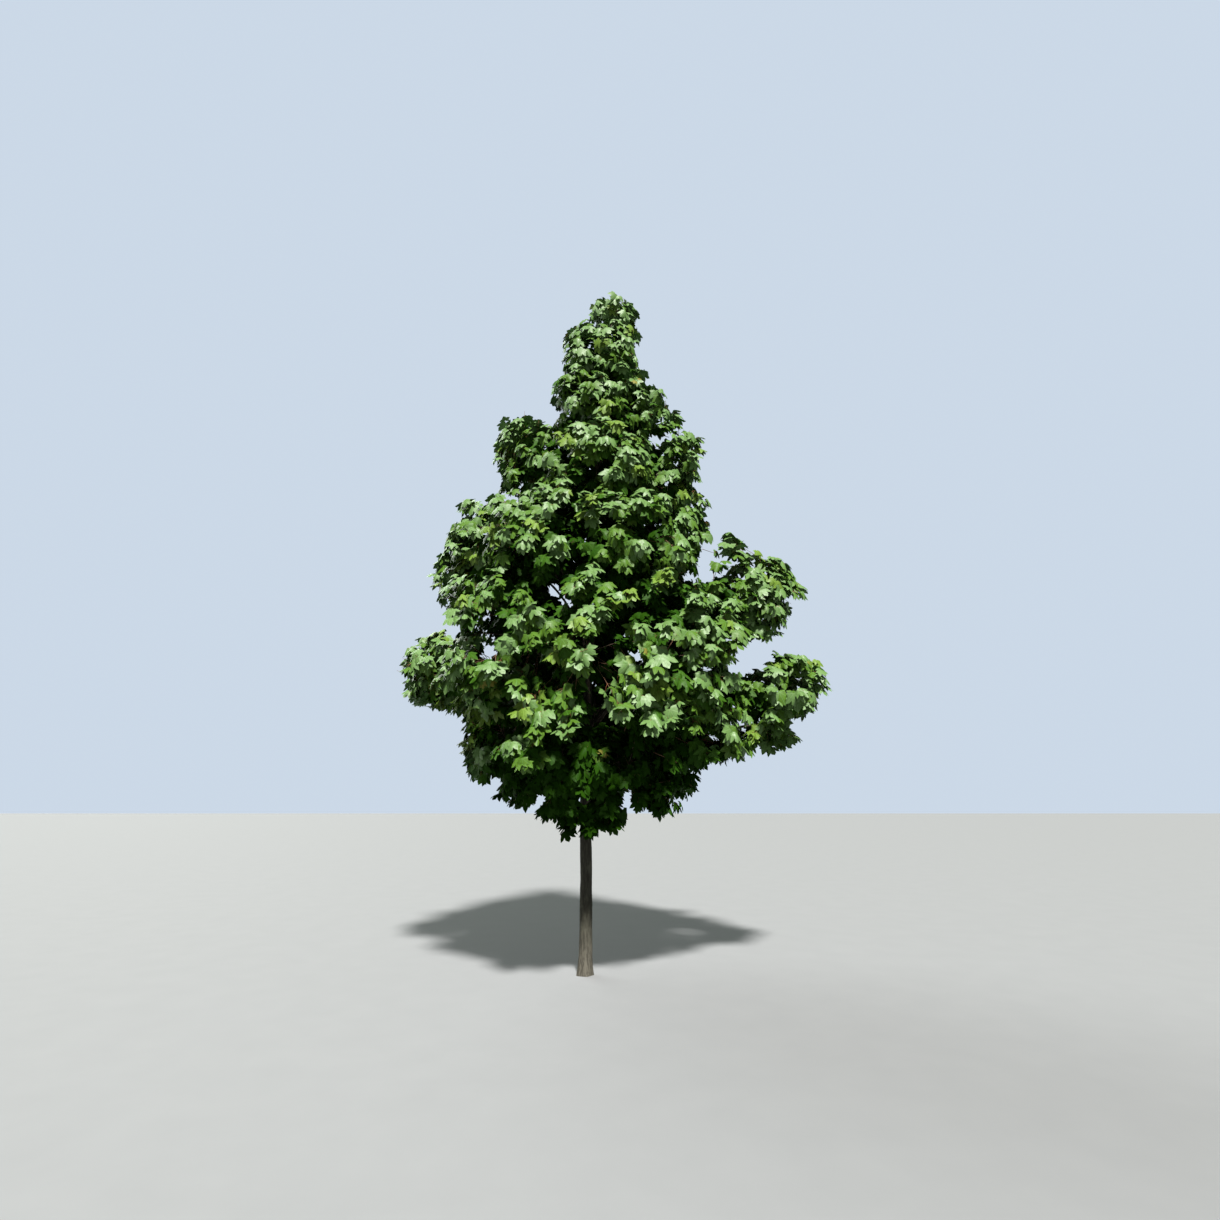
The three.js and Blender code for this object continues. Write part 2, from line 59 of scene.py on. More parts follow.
UP = Vector((0, 0, 1))
TRUNK_TOP = 6.98
FOOT_RADIUS = 0.060
TIP_RADIUS = 0.010
TRUNK_TAPER = 0.92
FLARE_OUT = 0.026
FLARE_HEIGHT = 0.100
BARK_THICKNESS = 0.0075
BARK_FULL_BY = 0.25
RIDGES = 5
RIDGE_DEPTH = 0.13
LEAN_FROM = 4.2
LEAN_FULL = 7.4
LEAN_OUT = 0.28
LEAN_POWER = 1.6
SWAY_OUT = 0.014
SWAY_LENGTH = 2.3
CAGE_SIDES = 15
CAGE_STEP = 0.11
FOOT_RINGS = [0, 0.045, 0.11, 0.2, 0.34, 0.48, 0.6]


def trunk_axis(z):
    rise = max(0.0, (z - LEAN_FROM) / (LEAN_FULL - LEAN_FROM))
    wander = SWAY_OUT * math.sin(2 * math.pi * z / SWAY_LENGTH)
    return Vector((LEAN_OUT * rise**LEAN_POWER + 0.5 * wander, wander, z))


def trunk_radius(z):
    taper = max(0.0, 1 - z / TRUNK_TOP) ** TRUNK_TAPER
    return TIP_RADIUS + (FOOT_RADIUS - TIP_RADIUS) * taper


def bark_radius(z):
    """The trunk with its bark and root flare."""
    flare = FLARE_OUT * math.exp(-z / FLARE_HEIGHT)
    bark = BARK_THICKNESS * (1 - math.exp(-z / BARK_FULL_BY)) * (1 - z / TRUNK_TOP)
    return trunk_radius(z) + flare + bark


def only(obj):
    bpy.ops.object.select_all(action="DESELECT")
    obj.select_set(True)
    bpy.context.view_layer.objects.active = obj


def select_points(obj, chosen):
    """In object mode, selects just the points for which chosen(place) is true."""
    for polygon in obj.data.polygons:
        polygon.select = False
    for edge in obj.data.edges:
        edge.select = False
    for point in obj.data.vertices:
        point.select = chosen(point.co)


def add_modifier(obj, name, kind, **values):
    modifier = obj.modifiers.new(name, kind)
    for key, value in values.items():
        setattr(modifier, key, value)
    only(obj)
    bpy.ops.object.modifier_apply(modifier=name)


def relief(obj, name, pattern, grain, size, depth, **values):
    """Presses a pattern into a surface; grain is the stretch of the pattern along each axis."""
    texture = bpy.data.textures.new(name, pattern)
    for key, value in values.items():
        setattr(texture, key, value)
    bpy.ops.object.empty_add(location=(0, 0, 0))
    ruler = bpy.context.object
    ruler.scale = Vector(grain) * size
    bpy.context.view_layer.update()
    add_modifier(
        obj, name, "DISPLACE", texture=texture, texture_coords="OBJECT",
        texture_coords_object=ruler, strength=depth, mid_level=0.5,
    )
    bpy.data.objects.remove(ruler)
    bpy.data.textures.remove(texture)


ring_heights = list(FOOT_RINGS)
while ring_heights[-1] + CAGE_STEP < TRUNK_TOP:
    ring_heights.append(ring_heights[-1] + CAGE_STEP)
ring_heights[-1] = TRUNK_TOP

bpy.ops.object.select_all(action="DESELECT")
bpy.ops.mesh.primitive_circle_add(
    vertices=CAGE_SIDES, radius=FOOT_RADIUS + FLARE_OUT, fill_type="NOTHING",
    location=trunk_axis(0), rotation=(0, 0, -math.pi / 2),
)
trunk = bpy.context.object
trunk.name = trunk.data.name = "trunk_bark"
bpy.ops.object.transform_apply(location=True, rotation=True, scale=True)
bpy.ops.object.mode_set(mode="EDIT")
bpy.ops.mesh.select_all(action="SELECT")
for below, here in zip(ring_heights, ring_heights[1:]):
    grow = bark_radius(here) / bark_radius(below)
    step = trunk_axis(here) - trunk_axis(below)
    bpy.ops.mesh.extrude_edges_move(TRANSFORM_OT_translate={"value": step})
    bpy.ops.transform.resize(value=(grow, grow, 1), center_override=trunk_axis(here))
for here in FOOT_RINGS:
    fade = math.exp(-here / FLARE_HEIGHT)
    middle = trunk_axis(here)
    for on_ridge, share in ((True, 1), (False, -0.5)):
        bpy.ops.object.mode_set(mode="OBJECT")
        select_points(
            trunk,
            lambda co: abs(co.z - here) < 0.004
            and (math.cos(RIDGES * math.atan2(co.y - middle.y, co.x - middle.x)) > 0.5) == on_ridge,
        )
        bpy.ops.object.mode_set(mode="EDIT")
        swell = 1 + RIDGE_DEPTH * fade * share
        bpy.ops.transform.resize(value=(swell, swell, 1), center_override=middle)
bpy.ops.object.mode_set(mode="OBJECT")
add_modifier(trunk, "smooth", "SUBSURF", levels=3, render_levels=3)
relief(trunk, "furrows", "CLOUDS", (1, 1, 9), 0.011, 0.0022, noise_depth=2, noise_scale=1.0)
relief(trunk, "plates", "CLOUDS", (1, 1, 2.6), 0.028, 0.0022, noise_depth=1, noise_scale=1.0)
relief(trunk, "knots", "CLOUDS", (1, 1, 1.5), 0.16, 0.0080, noise_depth=0, noise_scale=1.0)
for at_foot in (True, False):
    select_points(trunk, lambda co: co.z < 0.003 if at_foot else co.z > TRUNK_TOP - 0.006)
    bpy.ops.object.mode_set(mode="EDIT")
    if at_foot:
        bpy.ops.transform.resize(value=(1, 1, 0), center_override=(0, 0, 0))
    bpy.ops.mesh.edge_face_add()
    bpy.ops.mesh.select_all(action="SELECT")
    bpy.ops.mesh.normals_make_consistent(inside=False)
    bpy.ops.object.mode_set(mode="OBJECT")
bpy.ops.object.shade_smooth_by_angle(angle=math.radians(50))


def new_group(name, inputs, outputs):
    group = bpy.data.node_groups.new(name, "ShaderNodeTree")
    for label, kind, value in inputs:
        socket = group.interface.new_socket(label, in_out="INPUT", socket_type=kind)
        if value is not None:
            socket.default_value = value
    for label, kind in outputs:
        group.interface.new_socket(label, in_out="OUTPUT", socket_type=kind)
    return group, group.nodes.new("NodeGroupInput"), group.nodes.new("NodeGroupOutput")


def wire(tree, *pairs):
    for start, end in pairs:
        tree.links.new(start, end)


def noise(tree, vector, scale, detail=3.0, rough=0.5):
    made = tree.nodes.new("ShaderNodeTexNoise")
    made.inputs["Scale"].default_value = scale
    made.inputs["Detail"].default_value = detail
    made.inputs["Roughness"].default_value = rough
    tree.links.new(vector, made.inputs["Vector"])
    return made.outputs["Fac"]


def stretched(tree, vector, grain):
    made = tree.nodes.new("ShaderNodeMapping")
    made.inputs["Scale"].default_value = grain
    tree.links.new(vector, made.inputs["Vector"])
    return made.outputs["Vector"]


def band(tree, value, low, high, to_low=0.0, to_high=1.0):
    """Maps low..high of a value smoothly on to another range."""
    made = tree.nodes.new("ShaderNodeMapRange")
    made.interpolation_type = "SMOOTHSTEP"
    made.inputs["From Min"].default_value = low
    made.inputs["From Max"].default_value = high
    made.inputs["To Min"].default_value = to_low
    made.inputs["To Max"].default_value = to_high
    tree.links.new(value, made.inputs["Value"])
    return made.outputs["Result"]


def blended(tree, share, first, second):
    """A colour between two, each a colour or a socket."""
    made = tree.nodes.new("ShaderNodeMix")
    made.data_type = "RGBA"
    tree.links.new(share, made.inputs["Factor"])
    colour_inputs = [s for s in made.inputs if s.type == "RGBA"]
    for socket, colour in zip(colour_inputs, (first, second)):
        if isinstance(colour, bpy.types.NodeSocket):
            tree.links.new(colour, socket)
        else:
            socket.default_value = (*colour, 1)
    return [s for s in made.outputs if s.type == "RGBA"][0]


def sums(tree, operation, first, second):
    made = tree.nodes.new("ShaderNodeMath")
    made.operation = operation
    for socket, value in zip(made.inputs, (first, second)):
        if isinstance(value, bpy.types.NodeSocket):
            tree.links.new(value, socket)
        else:
            socket.default_value = value
    return made.outputs[0]


# Bark: dark furrows along the grain, paler patches of lichen, and breathing pores across it.
bark_group, bark_in, bark_out = new_group(
    "bark_grain",
    [
        ("Place", "NodeSocketVector", None),
        ("Grain", "NodeSocketFloat", 60.0),
    ],
    [
        ("Furrow", "NodeSocketFloat"),
        ("Patch", "NodeSocketFloat"),
        ("Pore", "NodeSocketFloat"),
        ("Height", "NodeSocketFloat"),
    ],
)
along = stretched(bark_group, bark_in.outputs["Place"], (1, 1, 0.16))
across = stretched(bark_group, bark_in.outputs["Place"], (1, 1, 3.2))
grain_noise = bark_group.nodes.new("ShaderNodeTexNoise")
grain_noise.inputs["Detail"].default_value = 5
grain_noise.inputs["Roughness"].default_value = 0.62
wire(
    bark_group,
    (along, grain_noise.inputs["Vector"]),
    (bark_in.outputs["Grain"], grain_noise.inputs["Scale"]),
)
furrow = band(bark_group, grain_noise.outputs["Fac"], 0.56, 0.40)
patch = band(bark_group, noise(bark_group, bark_in.outputs["Place"], 9, 4, 0.6), 0.42, 0.66)
pore_cells = bark_group.nodes.new("ShaderNodeTexVoronoi")
pore_cells.inputs["Scale"].default_value = 55
wire(bark_group, (across, pore_cells.inputs["Vector"]))
pore = band(bark_group, pore_cells.outputs["Distance"], 0.20, 0.10)
height = sums(
    bark_group, "SUBTRACT", sums(bark_group, "MULTIPLY", pore, 0.35),
    sums(bark_group, "MULTIPLY", furrow, 0.8),
)
wire(
    bark_group,
    (furrow, bark_out.inputs["Furrow"]),
    (patch, bark_out.inputs["Patch"]),
    (pore, bark_out.inputs["Pore"]),
    (height, bark_out.inputs["Height"]),
)


def new_material(name):
    material = bpy.data.materials.new(name)
    material.use_nodes = True
    return material, material.node_tree, material.node_tree.nodes["Principled BSDF"]


def bumped(tree, height, strength):
    """The surface's normal, with a height of up to 2 mm pressed into it."""
    bump = tree.nodes.new("ShaderNodeBump")
    bump.inputs["Strength"].default_value = strength
    bump.inputs["Distance"].default_value = 0.002
    wire(tree, (height, bump.inputs["Height"]))
    return bump.outputs["Normal"]


def bark_material(name, body, pale, furrow_colour, grain, foot=None):
    material, tree, shader = new_material(name)
    place = tree.nodes.new("ShaderNodeTexCoord").outputs["Object"]
    bark = tree.nodes.new("ShaderNodeGroup")
    bark.node_tree = bark_group
    bark.inputs["Grain"].default_value = grain
    colour = blended(tree, bark.outputs["Patch"], body, pale)
    # A foot colour paints the lowest few decimetres paler, with a wavy upper edge: a painted sunlit
    # patch at the foot.
    if foot:
        apart = tree.nodes.new("ShaderNodeSeparateXYZ")
        sunlit_edge_wobble = sums(tree, "MULTIPLY", noise(tree, place, 14, 3), 0.34)
        wire(tree, (place, apart.inputs[0]))
        rise = sums(tree, "SUBTRACT", apart.outputs["Z"], sunlit_edge_wobble)
        colour = blended(tree, band(tree, rise, 0.26, -0.04), colour, foot)
    colour = blended(tree, sums(tree, "MULTIPLY", bark.outputs["Furrow"], 0.75), colour, furrow_colour)
    colour = blended(tree, sums(tree, "MULTIPLY", bark.outputs["Pore"], 0.45), colour, pale)
    wire(
        tree,
        (place, bark.inputs["Place"]),
        (colour, shader.inputs["Base Color"]),
        (bumped(tree, bark.outputs["Height"], 0.55), shader.inputs["Normal"]),
        (band(tree, bark.outputs["Furrow"], 0, 1, 0.74, 0.92), shader.inputs["Roughness"]),
    )
    shader.inputs["Specular IOR Level"].default_value = 0.3
    return material


# The trunk's bark is painted darker than the limbs' bark, as painted shade from the crown above it,
# and its foot is painted paler, as a painted sunlit patch.
trunk.data.materials.append(
    bark_material(
        "trunk_bark", body=(0.038, 0.036, 0.026), pale=(0.060, 0.057, 0.042),
        furrow_colour=(0.023, 0.021, 0.016), grain=55, foot=(0.078, 0.071, 0.056),
    )
)
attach(trunk, "root")
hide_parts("trunk")

# ---- The boughs and stems --------------------------------------------------------------------
# Ascending limbs of live wood in thin brown bark, each grown out of the trunk from a swollen
# collar. A limb runs on through its mass of foliage as that mass's stem. They are drawn as
# tapering lines, made round, smoothed and given a shallow relief.

# Each mass: name, azimuth (0 = right, 90 = back), reach of its middle from the trunk's axis,
# height of its middle, half sizes (outward, sideways, upright), and at what height its bough or
# else its stem leaves the trunk. tilt is the rise of its outward axis, and out is how far
# outward its stem ends, as a share of its half size.
MASSES = [
    dict(name="tip", az=0, reach=0, height=7.30, half=(0.33, 0.33, 0.40)),
    dict(name="top_left", az=186, reach=0.25, height=6.74, half=(0.32, 0.34, 0.44), stem=6.44),
    dict(name="top_front", az=305, reach=0.25, height=6.70, half=(0.33, 0.32, 0.42), stem=6.33),
    dict(name="top_back", az=65, reach=0.25, height=6.74, half=(0.33, 0.34, 0.42), stem=6.39),
    dict(name="high_left", az=205, reach=0.29, height=6.02, half=(0.39, 0.36, 0.46), stem=5.64),
    dict(name="high_right", az=348, reach=0.48, height=6.02, half=(0.37, 0.34, 0.40), stem=5.58,
         tilt=-20),
    dict(name="high_front", az=275, reach=0.33, height=5.86, half=(0.37, 0.40, 0.46), stem=5.48),
    dict(name="high_back", az=95, reach=0.37, height=5.95, half=(0.39, 0.42, 0.46), stem=5.53),
    dict(name="upper_left", az=184, reach=0.74, height=5.43, half=(0.45, 0.40, 0.52), bough=4.70),
    dict(name="upper_right", az=352, reach=0.84, height=5.18, half=(0.46, 0.44, 0.62), bough=4.40,
         tilt=-15),
    dict(name="upper_front", az=278, reach=0.60, height=5.06, half=(0.50, 0.52, 0.52), stem=4.52),
    dict(name="upper_back_left", az=125, reach=0.68, height=5.22, half=(0.50, 0.48, 0.52),
         stem=4.60),
    dict(name="upper_back_right", az=55, reach=0.68, height=5.30, half=(0.50, 0.48, 0.52),
         stem=4.68),
    dict(name="middle_left", az=188, reach=1.13, height=4.28, half=(0.68, 0.50, 0.48), bough=3.35,
         tilt=-52, out=-0.1),
    dict(name="middle_right", az=350, reach=0.86, height=4.22, half=(0.56, 0.46, 0.54),
         bough=3.45),
    dict(name="middle_front_left", az=240, reach=0.84, height=4.12, half=(0.58, 0.52, 0.56),
         bough=3.15),
    dict(name="middle_front_right", az=300, reach=0.88, height=4.02, half=(0.60, 0.54, 0.58),
         bough=3.05),
    dict(name="middle_back_right", az=45, reach=1.02, height=4.20, half=(0.62, 0.58, 0.62),
         bough=3.30, tilt=-20),
    dict(name="middle_back_left", az=135, reach=1.04, height=4.16, half=(0.62, 0.58, 0.62),
         bough=3.20, tilt=-20),
    dict(name="arm_right_upper", az=354, reach=1.69, height=3.70, half=(0.67, 0.46, 0.50),
         bough=2.30, tilt=22, out=0.8),
    dict(name="arm_left", az=180, reach=1.53, height=2.96, half=(0.56, 0.48, 0.45), bough=2.15,
         out=0.8),
    dict(name="low_front_left", az=230, reach=1.16, height=3.10, half=(0.64, 0.56, 0.60),
         bough=2.35, tilt=-20),
    dict(name="low_front", az=270, reach=1.16, height=3.00, half=(0.64, 0.56, 0.62), bough=2.10,
         tilt=-20),
    dict(name="low_front_right", az=314, reach=1.28, height=2.98, half=(0.66, 0.56, 0.64),
         bough=2.20, tilt=-20),
    dict(name="low_back_right", az=40, reach=1.44, height=3.10, half=(0.70, 0.62, 0.60),
         bough=2.40, tilt=-20),
    dict(name="low_back", az=88, reach=1.48, height=2.96, half=(0.68, 0.58, 0.58), bough=2.05,
         tilt=-20),
    dict(name="low_back_left", az=136, reach=1.42, height=3.06, half=(0.68, 0.62, 0.60),
         bough=2.25, tilt=-20),
    dict(name="arm_right_lower", az=358, reach=2.02, height=2.63, half=(0.54, 0.44, 0.48),
         bough=1.85, tilt=24, out=0.8),
    dict(name="skirt_right", az=345, reach=1.02, height=2.30, half=(0.62, 0.52, 0.54), bough=1.70),
    dict(name="skirt_left", az=196, reach=0.82, height=2.18, half=(0.52, 0.52, 0.58), bough=1.75),
    dict(name="skirt_front_left", az=246, reach=0.62, height=1.94, half=(0.48, 0.48, 0.54),
         bough=1.60),
    dict(name="skirt_front_right", az=306, reach=0.66, height=1.88, half=(0.50, 0.50, 0.52),
         bough=1.55),
    dict(name="skirt_back_right", az=52, reach=0.96, height=2.14, half=(0.60, 0.60, 0.58),
         bough=1.65),
    dict(name="skirt_back_left", az=124, reach=0.94, height=2.12, half=(0.60, 0.60, 0.58),
         bough=1.60),
]
BOUGH_FOOT_SHARE = 0.44
BOUGH_TAPER = 0.8
BOUGH_TIP_RADIUS = 0.013
BOUGH_COLLAR = 0.35
BOUGH_COLLAR_FADE = 0.08
STEM_COLLAR_FADE = 0.06
BOUGH_RUN_EARLY = 0.42
BOUGH_CLIMB_EARLY = 0.66
STEM_CLIMB_EARLY = 0.5
BEND_ASIDE = 0.16
ENTER_INWARD = 0.5
ENTER_BELOW = 0.34
STEM_OUT = 0.4
STEM_RISE = 0.88
STEM_AHEAD = 0.4
STEM_TIP_RADIUS = 0.0035
SPACE_GAP = 0.006
WALL_REACH = 1.3
LIMB_POINTS = 18


def stream(seed):
    """A seeded stream of numbers from 0 to 1."""
    state = seed * 2654435761 & 0xFFFFFFFF
    while True:
        state = (state * 1664525 + 1013904223) & 0xFFFFFFFF
        yield state / 4294967296


def curve_point(curve, t):
    a, b, c = curve
    return a * (1 - t) ** 2 + b * (2 * t * (1 - t)) + c * t**2


def curve_along(curve, t):
    a, b, c = curve
    return ((b - a) * (1 - t) + (c - b) * t).normalized()


def support(mass, direction):
    """How far a mass reaches from its middle along a direction."""
    parts = [axis.dot(direction) * half for axis, half in zip(mass["axes"], mass["half"])]
    return math.hypot(*parts)


def lay_out(mass, index):
    turn = math.radians(mass["az"])
    lift = math.radians(mass.get("tilt", 0))
    outward = Vector((math.cos(turn), math.sin(turn), 0))
    sideways = Vector((-math.sin(turn), math.cos(turn), 0))
    mass["index"] = index
    mass["middle"] = trunk_axis(mass["height"]) + outward * mass["reach"]
    mass["axes"] = (
        outward * math.cos(lift) + UP * math.sin(lift),
        sideways,
        UP * math.cos(lift) - outward * math.sin(lift),
    )


def walls_of(mass):
    """Flat walls between a mass and each neighbour, in proportion to their sizes."""
    walls = []
    for other in MASSES:
        if other is mass:
            continue
        normal = other["middle"] - mass["middle"]
        distance = normal.length
        normal.normalize()
        mine, theirs = support(mass, normal), support(other, normal)
        if (mine + theirs) * WALL_REACH >= distance:
            walls.append((normal, distance * mine / (mine + theirs) - SPACE_GAP))
    return walls


def plan_limbs(mass):
    outward, _, upright = mass["axes"]
    out = mass.get("out", STEM_OUT)
    half = mass["half"]
    enter = mass["middle"] - outward * (ENTER_INWARD * half[0]) - upright * (ENTER_BELOW * half[2])
    rise = STEM_RISE * math.sqrt(1 - out * out) * support(mass, UP)
    end = mass["middle"] + outward * (out * half[0]) + UP * rise
    bend_side = (next(stream(mass["index"] + 11)) - 0.5) * BEND_ASIDE
    foot_height = mass.get("bough", mass.get("stem"))
    if foot_height is None:
        foot = trunk_axis(TRUNK_TOP)
        mass["stem_curve"] = (foot, Vector((foot.x, foot.y, mass["height"])), end)
        mass["foot_radius"] = TIP_RADIUS
        return
    foot = trunk_axis(foot_height)
    goal = enter if "bough" in mass else end
    run = goal - foot
    level = Vector((run.x, run.y, 0))
    climb = BOUGH_CLIMB_EARLY if "bough" in mass else STEM_CLIMB_EARLY
    bend = foot + level * BOUGH_RUN_EARLY + Vector((-level.y, level.x, 0)) * bend_side
    bend.z += run.z * climb
    mass["foot_radius"] = trunk_radius(foot_height) * BOUGH_FOOT_SHARE
    if "bough" in mass:
        mass["bough_curve"] = (foot, bend, goal)
        ahead = curve_along(mass["bough_curve"], 1)
        towards = goal + ahead * (STEM_AHEAD * (end - goal).length)
        mass["stem_curve"] = (goal, towards, end)
    else:
        mass["stem_curve"] = (foot, bend, goal)


VIEWER = Vector((0.24, -7.16, 1.6))
# The crown's outline as a person standing in front sees it: height, left edge and right edge, in
# the upright plane through the foot of the trunk.
OUTLINE = [
    (1.25, -0.10, 0.18), (1.33, -0.30, 0.42), (1.43, -0.49, 0.73), (1.53, -0.65, 0.94),
    (1.62, -0.81, 1.02), (1.78, -1.10, 1.10), (1.96, -1.26, 1.17), (2.10, -1.29, 1.95),
    (2.25, -1.31, 2.20), (2.36, -1.27, 2.13), (2.48, -1.30, 2.25), (2.59, -1.80, 2.41),
    (2.71, -1.90, 2.48), (2.83, -1.89, 2.56), (2.95, -2.04, 2.47), (3.06, -2.01, 2.45),
    (3.19, -1.86, 1.70), (3.31, -1.78, 1.97), (3.43, -1.45, 2.14), (3.55, -1.54, 2.20),
    (3.68, -1.61, 2.20), (3.80, -1.64, 2.44), (3.93, -1.74, 2.34), (4.06, -1.72, 2.26),
    (4.19, -1.70, 2.14), (4.32, -1.60, 1.72), (4.45, -1.61, 1.70), (4.59, -1.58, 1.36),
    (4.72, -1.50, 1.32), (4.86, -1.44, 1.40), (4.99, -1.35, 1.26), (5.13, -1.38, 1.20),
    (5.27, -1.05, 1.30), (5.41, -1.10, 1.30), (5.56, -1.12, 1.34), (5.70, -1.11, 1.30),
    (5.84, -1.07, 1.18), (6.02, -0.95, 1.05), (6.14, -0.46, 0.92), (6.29, -0.44, 0.90),
    (6.44, -0.44, 0.66), (6.59, -0.36, 0.66), (6.75, -0.33, 0.55), (6.90, -0.31, 0.58),
    (7.06, -0.33, 0.64), (7.22, -0.22, 0.57), (7.38, -0.03, 0.60), (7.52, 0.03, 0.57),
    (7.60, 0.04, 0.45), (7.68, 0.06, 0.30),
]
TRIM_INSIDE = 0.06


def as_seen(places):
    """Where each place stands across and up, as seen from in front."""
    places = np.asarray(places)
    grown = -VIEWER.y / (places[:, 1] - VIEWER.y)
    across = VIEWER.x + (places[:, 0] - VIEWER.x) * grown
    return across, VIEWER.z + (places[:, 2] - VIEWER.z) * grown


def seen_at(across, up, depth):
    """The point at a depth (y) that is seen at a place across and up."""
    return VIEWER.lerp(Vector((across, 0, up)), (depth - VIEWER.y) / -VIEWER.y)


def inside_outline(places):
    """How far each place is seen inside the crown's outline."""
    across, up = as_seen(places)
    height, left, right = np.array(OUTLINE).T
    inside = np.minimum(across - np.interp(up, height, left), np.interp(up, height, right) - across)
    return np.minimum(inside, np.minimum(up - height[0], height[-1] - up))


def trimmed(curve):
    """A curve cut back to where it stays inside the crown's outline."""
    shares = np.linspace(0.4, 1, 25)
    inside = inside_outline([list(curve_point(curve, t)) for t in shares]) > TRIM_INSIDE
    t = shares[-1] if inside.all() else shares[max(0, int(np.argmin(inside)) - 1)]
    a, b, _ = curve
    return a, a.lerp(b, t), curve_point(curve, t)


for index, mass in enumerate(MASSES):
    lay_out(mass, index)
for mass in MASSES:
    mass["walls"] = walls_of(mass)
    plan_limbs(mass)
    mass["stem_curve"] = trimmed(mass["stem_curve"])


def limb_line(mass):
    """Points and radii along a whole limb, from inside the trunk to the tip of its stem."""
    line = []
    if "bough" in mass:
        for i in range(LIMB_POINTS):
            t = i / LIMB_POINTS
            swell = 1 + BOUGH_COLLAR * math.exp(-t / BOUGH_COLLAR_FADE)
            radius = mass["foot_radius"] + (BOUGH_TIP_RADIUS - mass["foot_radius"]) * t**BOUGH_TAPER
            line.append((curve_point(mass["bough_curve"], t), radius * swell))
    start = BOUGH_TIP_RADIUS if "bough" in mass else min(mass["foot_radius"], BOUGH_TIP_RADIUS)
    if "bough" not in mass and "stem" not in mass:
        start = TIP_RADIUS
    for i in range(LIMB_POINTS + 1):
        t = i / LIMB_POINTS
        collar = 1 + (BOUGH_COLLAR * math.exp(-t / STEM_COLLAR_FADE) if "stem" in mass else 0)
        line.append(
            (curve_point(mass["stem_curve"], t), (start + (STEM_TIP_RADIUS - start) * t) * collar)
        )
    return line


bpy.ops.object.select_all(action="DESELECT")
bpy.ops.curve.primitive_nurbs_path_add(location=(0, 0, 0))
limbs = bpy.context.object
limbs.name = limbs.data.name = "limb_bark"
limbs.data.splines.clear()
limbs.data.bevel_depth = 1.0
limbs.data.bevel_resolution = 2
limbs.data.use_fill_caps = True
for mass in MASSES:
    line = limb_line(mass)
    spline = limbs.data.splines.new("POLY")
    spline.points.add(len(line) - 1)
    for point, (place, radius) in zip(spline.points, line):
        point.co = (*place, 1)
        point.radius = radius
only(limbs)
bpy.ops.object.convert(target="MESH")
limbs = bpy.context.object
add_modifier(limbs, "smooth", "SUBSURF", levels=1, render_levels=1)
relief(limbs, "furrows", "CLOUDS", (1, 1, 5), 0.009, 0.0016, noise_depth=2, noise_scale=1.0)
relief(limbs, "knots", "CLOUDS", (1, 1, 1.5), 0.11, 0.0050, noise_depth=0, noise_scale=1.0)
only(limbs)
bpy.ops.object.shade_smooth()
limbs.data.materials.clear()
limbs.data.materials.append(
    bark_material(
        "limb_bark", body=(0.075, 0.058, 0.040), pale=(0.15, 0.125, 0.092),
        furrow_colour=(0.026, 0.020, 0.015), grain=90,
    )
)
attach(limbs, "root")
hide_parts(*["bough_" + mass["name"] for mass in MASSES if "bough" in mass])

# ---- The side twigs and shoots ------------------------------------------------------------------
# Side twigs fork off each stem towards points spread evenly over the skin of its mass, leafy
# shoots fork off both by the same rule, and more shoots follow the outline and bear sunlit ledges.
# Thin brown and red-brown wood, tapering to a blunt tip, each foot sunk in the limb that bears it.

GOLDEN_ANGLE = math.pi * (3 - math.sqrt(5))
TWIG_COUNT = 10
TWIG_JOINTS = [0.08, 0.2, 0.32, 0.44, 0.56, 0.68, 0.8, 0.9]
TWIG_SPREAD = math.radians(55)
TWIG_FARTHEST = 0.85
TWIG_NEAREST = 0.4
TWIG_SHORTEST = 0.09
TWIG_SKIN = 0.92
TWIG_LIFT = 0.3
SMALLEST_LEAF = 0.72
TWIG_RADIUS = 0.0052
TWIG_TIP_RADIUS = 0.0022
SHOOT_RADIUS = 0.0034
SHOOT_TIP_RADIUS = 0.0014
SHOOT_SPACING = 0.212
SHOOT_JOINTS = [0.2, 0.35, 0.5, 0.65, 0.8, 0.92]
SHOOT_SPREAD = math.radians(50)
SHOOT_SKIN = 1.4
SHOOT_LENGTHS = (0.08, 0.75)
SHOOT_LAYERS = dict(outer=(0.76, 1.12), inner=(0.36, 0.78))
LEAST_SHARE = 0.3
DROPPED_SHARE = 0.45
INNER_SHARE = 0.46
INNER_SHARE_BACK = 0.78
SKIRT_OUT = 0.12
LONG_SHOOTS = 0.12
LONG_SHOOT_OUT = 0.22
LUMP_SCALE = 2.1
LUMP_DEPTH = 0.24
HOLLOW_SCALE = 3.1
HOLLOW_SHIFT = Vector((7.3, 1.9, 4.2))
HOLLOW_BELOW = -0.27
NEIGHBOUR_NEAR = 1.6
FILL_OUT = 0.7
FULL_HALF = 0.52
LEAF_LENGTH_IN_SOLIDS = 0.63


def skin_share(mass, point):
    """How far out a point is in a mass: 1 at its skin."""
    away = point - mass["middle"]
    parts = [axis.dot(away) / half for axis, half in zip(mass["axes"], mass["half"])]
    return math.hypot(*parts)


def in_space(mass, point, skin, margin):
    """Whether a point is within a share of a mass's skin and clear of its walls by a margin."""
    if skin_share(mass, point) > skin:
        return False
    away = point - mass["middle"]
    return all(normal.dot(away) < limit - margin for normal, limit in mass["walls"])


def spread_point(mass, i, count, twist, share):
    """A point a share of the way to the skin, in one of the directions spread evenly round."""
    height = 1 - 2 * (i + 0.5) / count
    level = math.sqrt(1 - height * height)
    turn = i * GOLDEN_ANGLE + twist
    parts = (math.cos(turn) * level, math.sin(turn) * level, height)
    point = mass["middle"].copy()
    for axis, part, half in zip(mass["axes"], parts, mass["half"]):
        point += axis * (part * half * share)
    return point


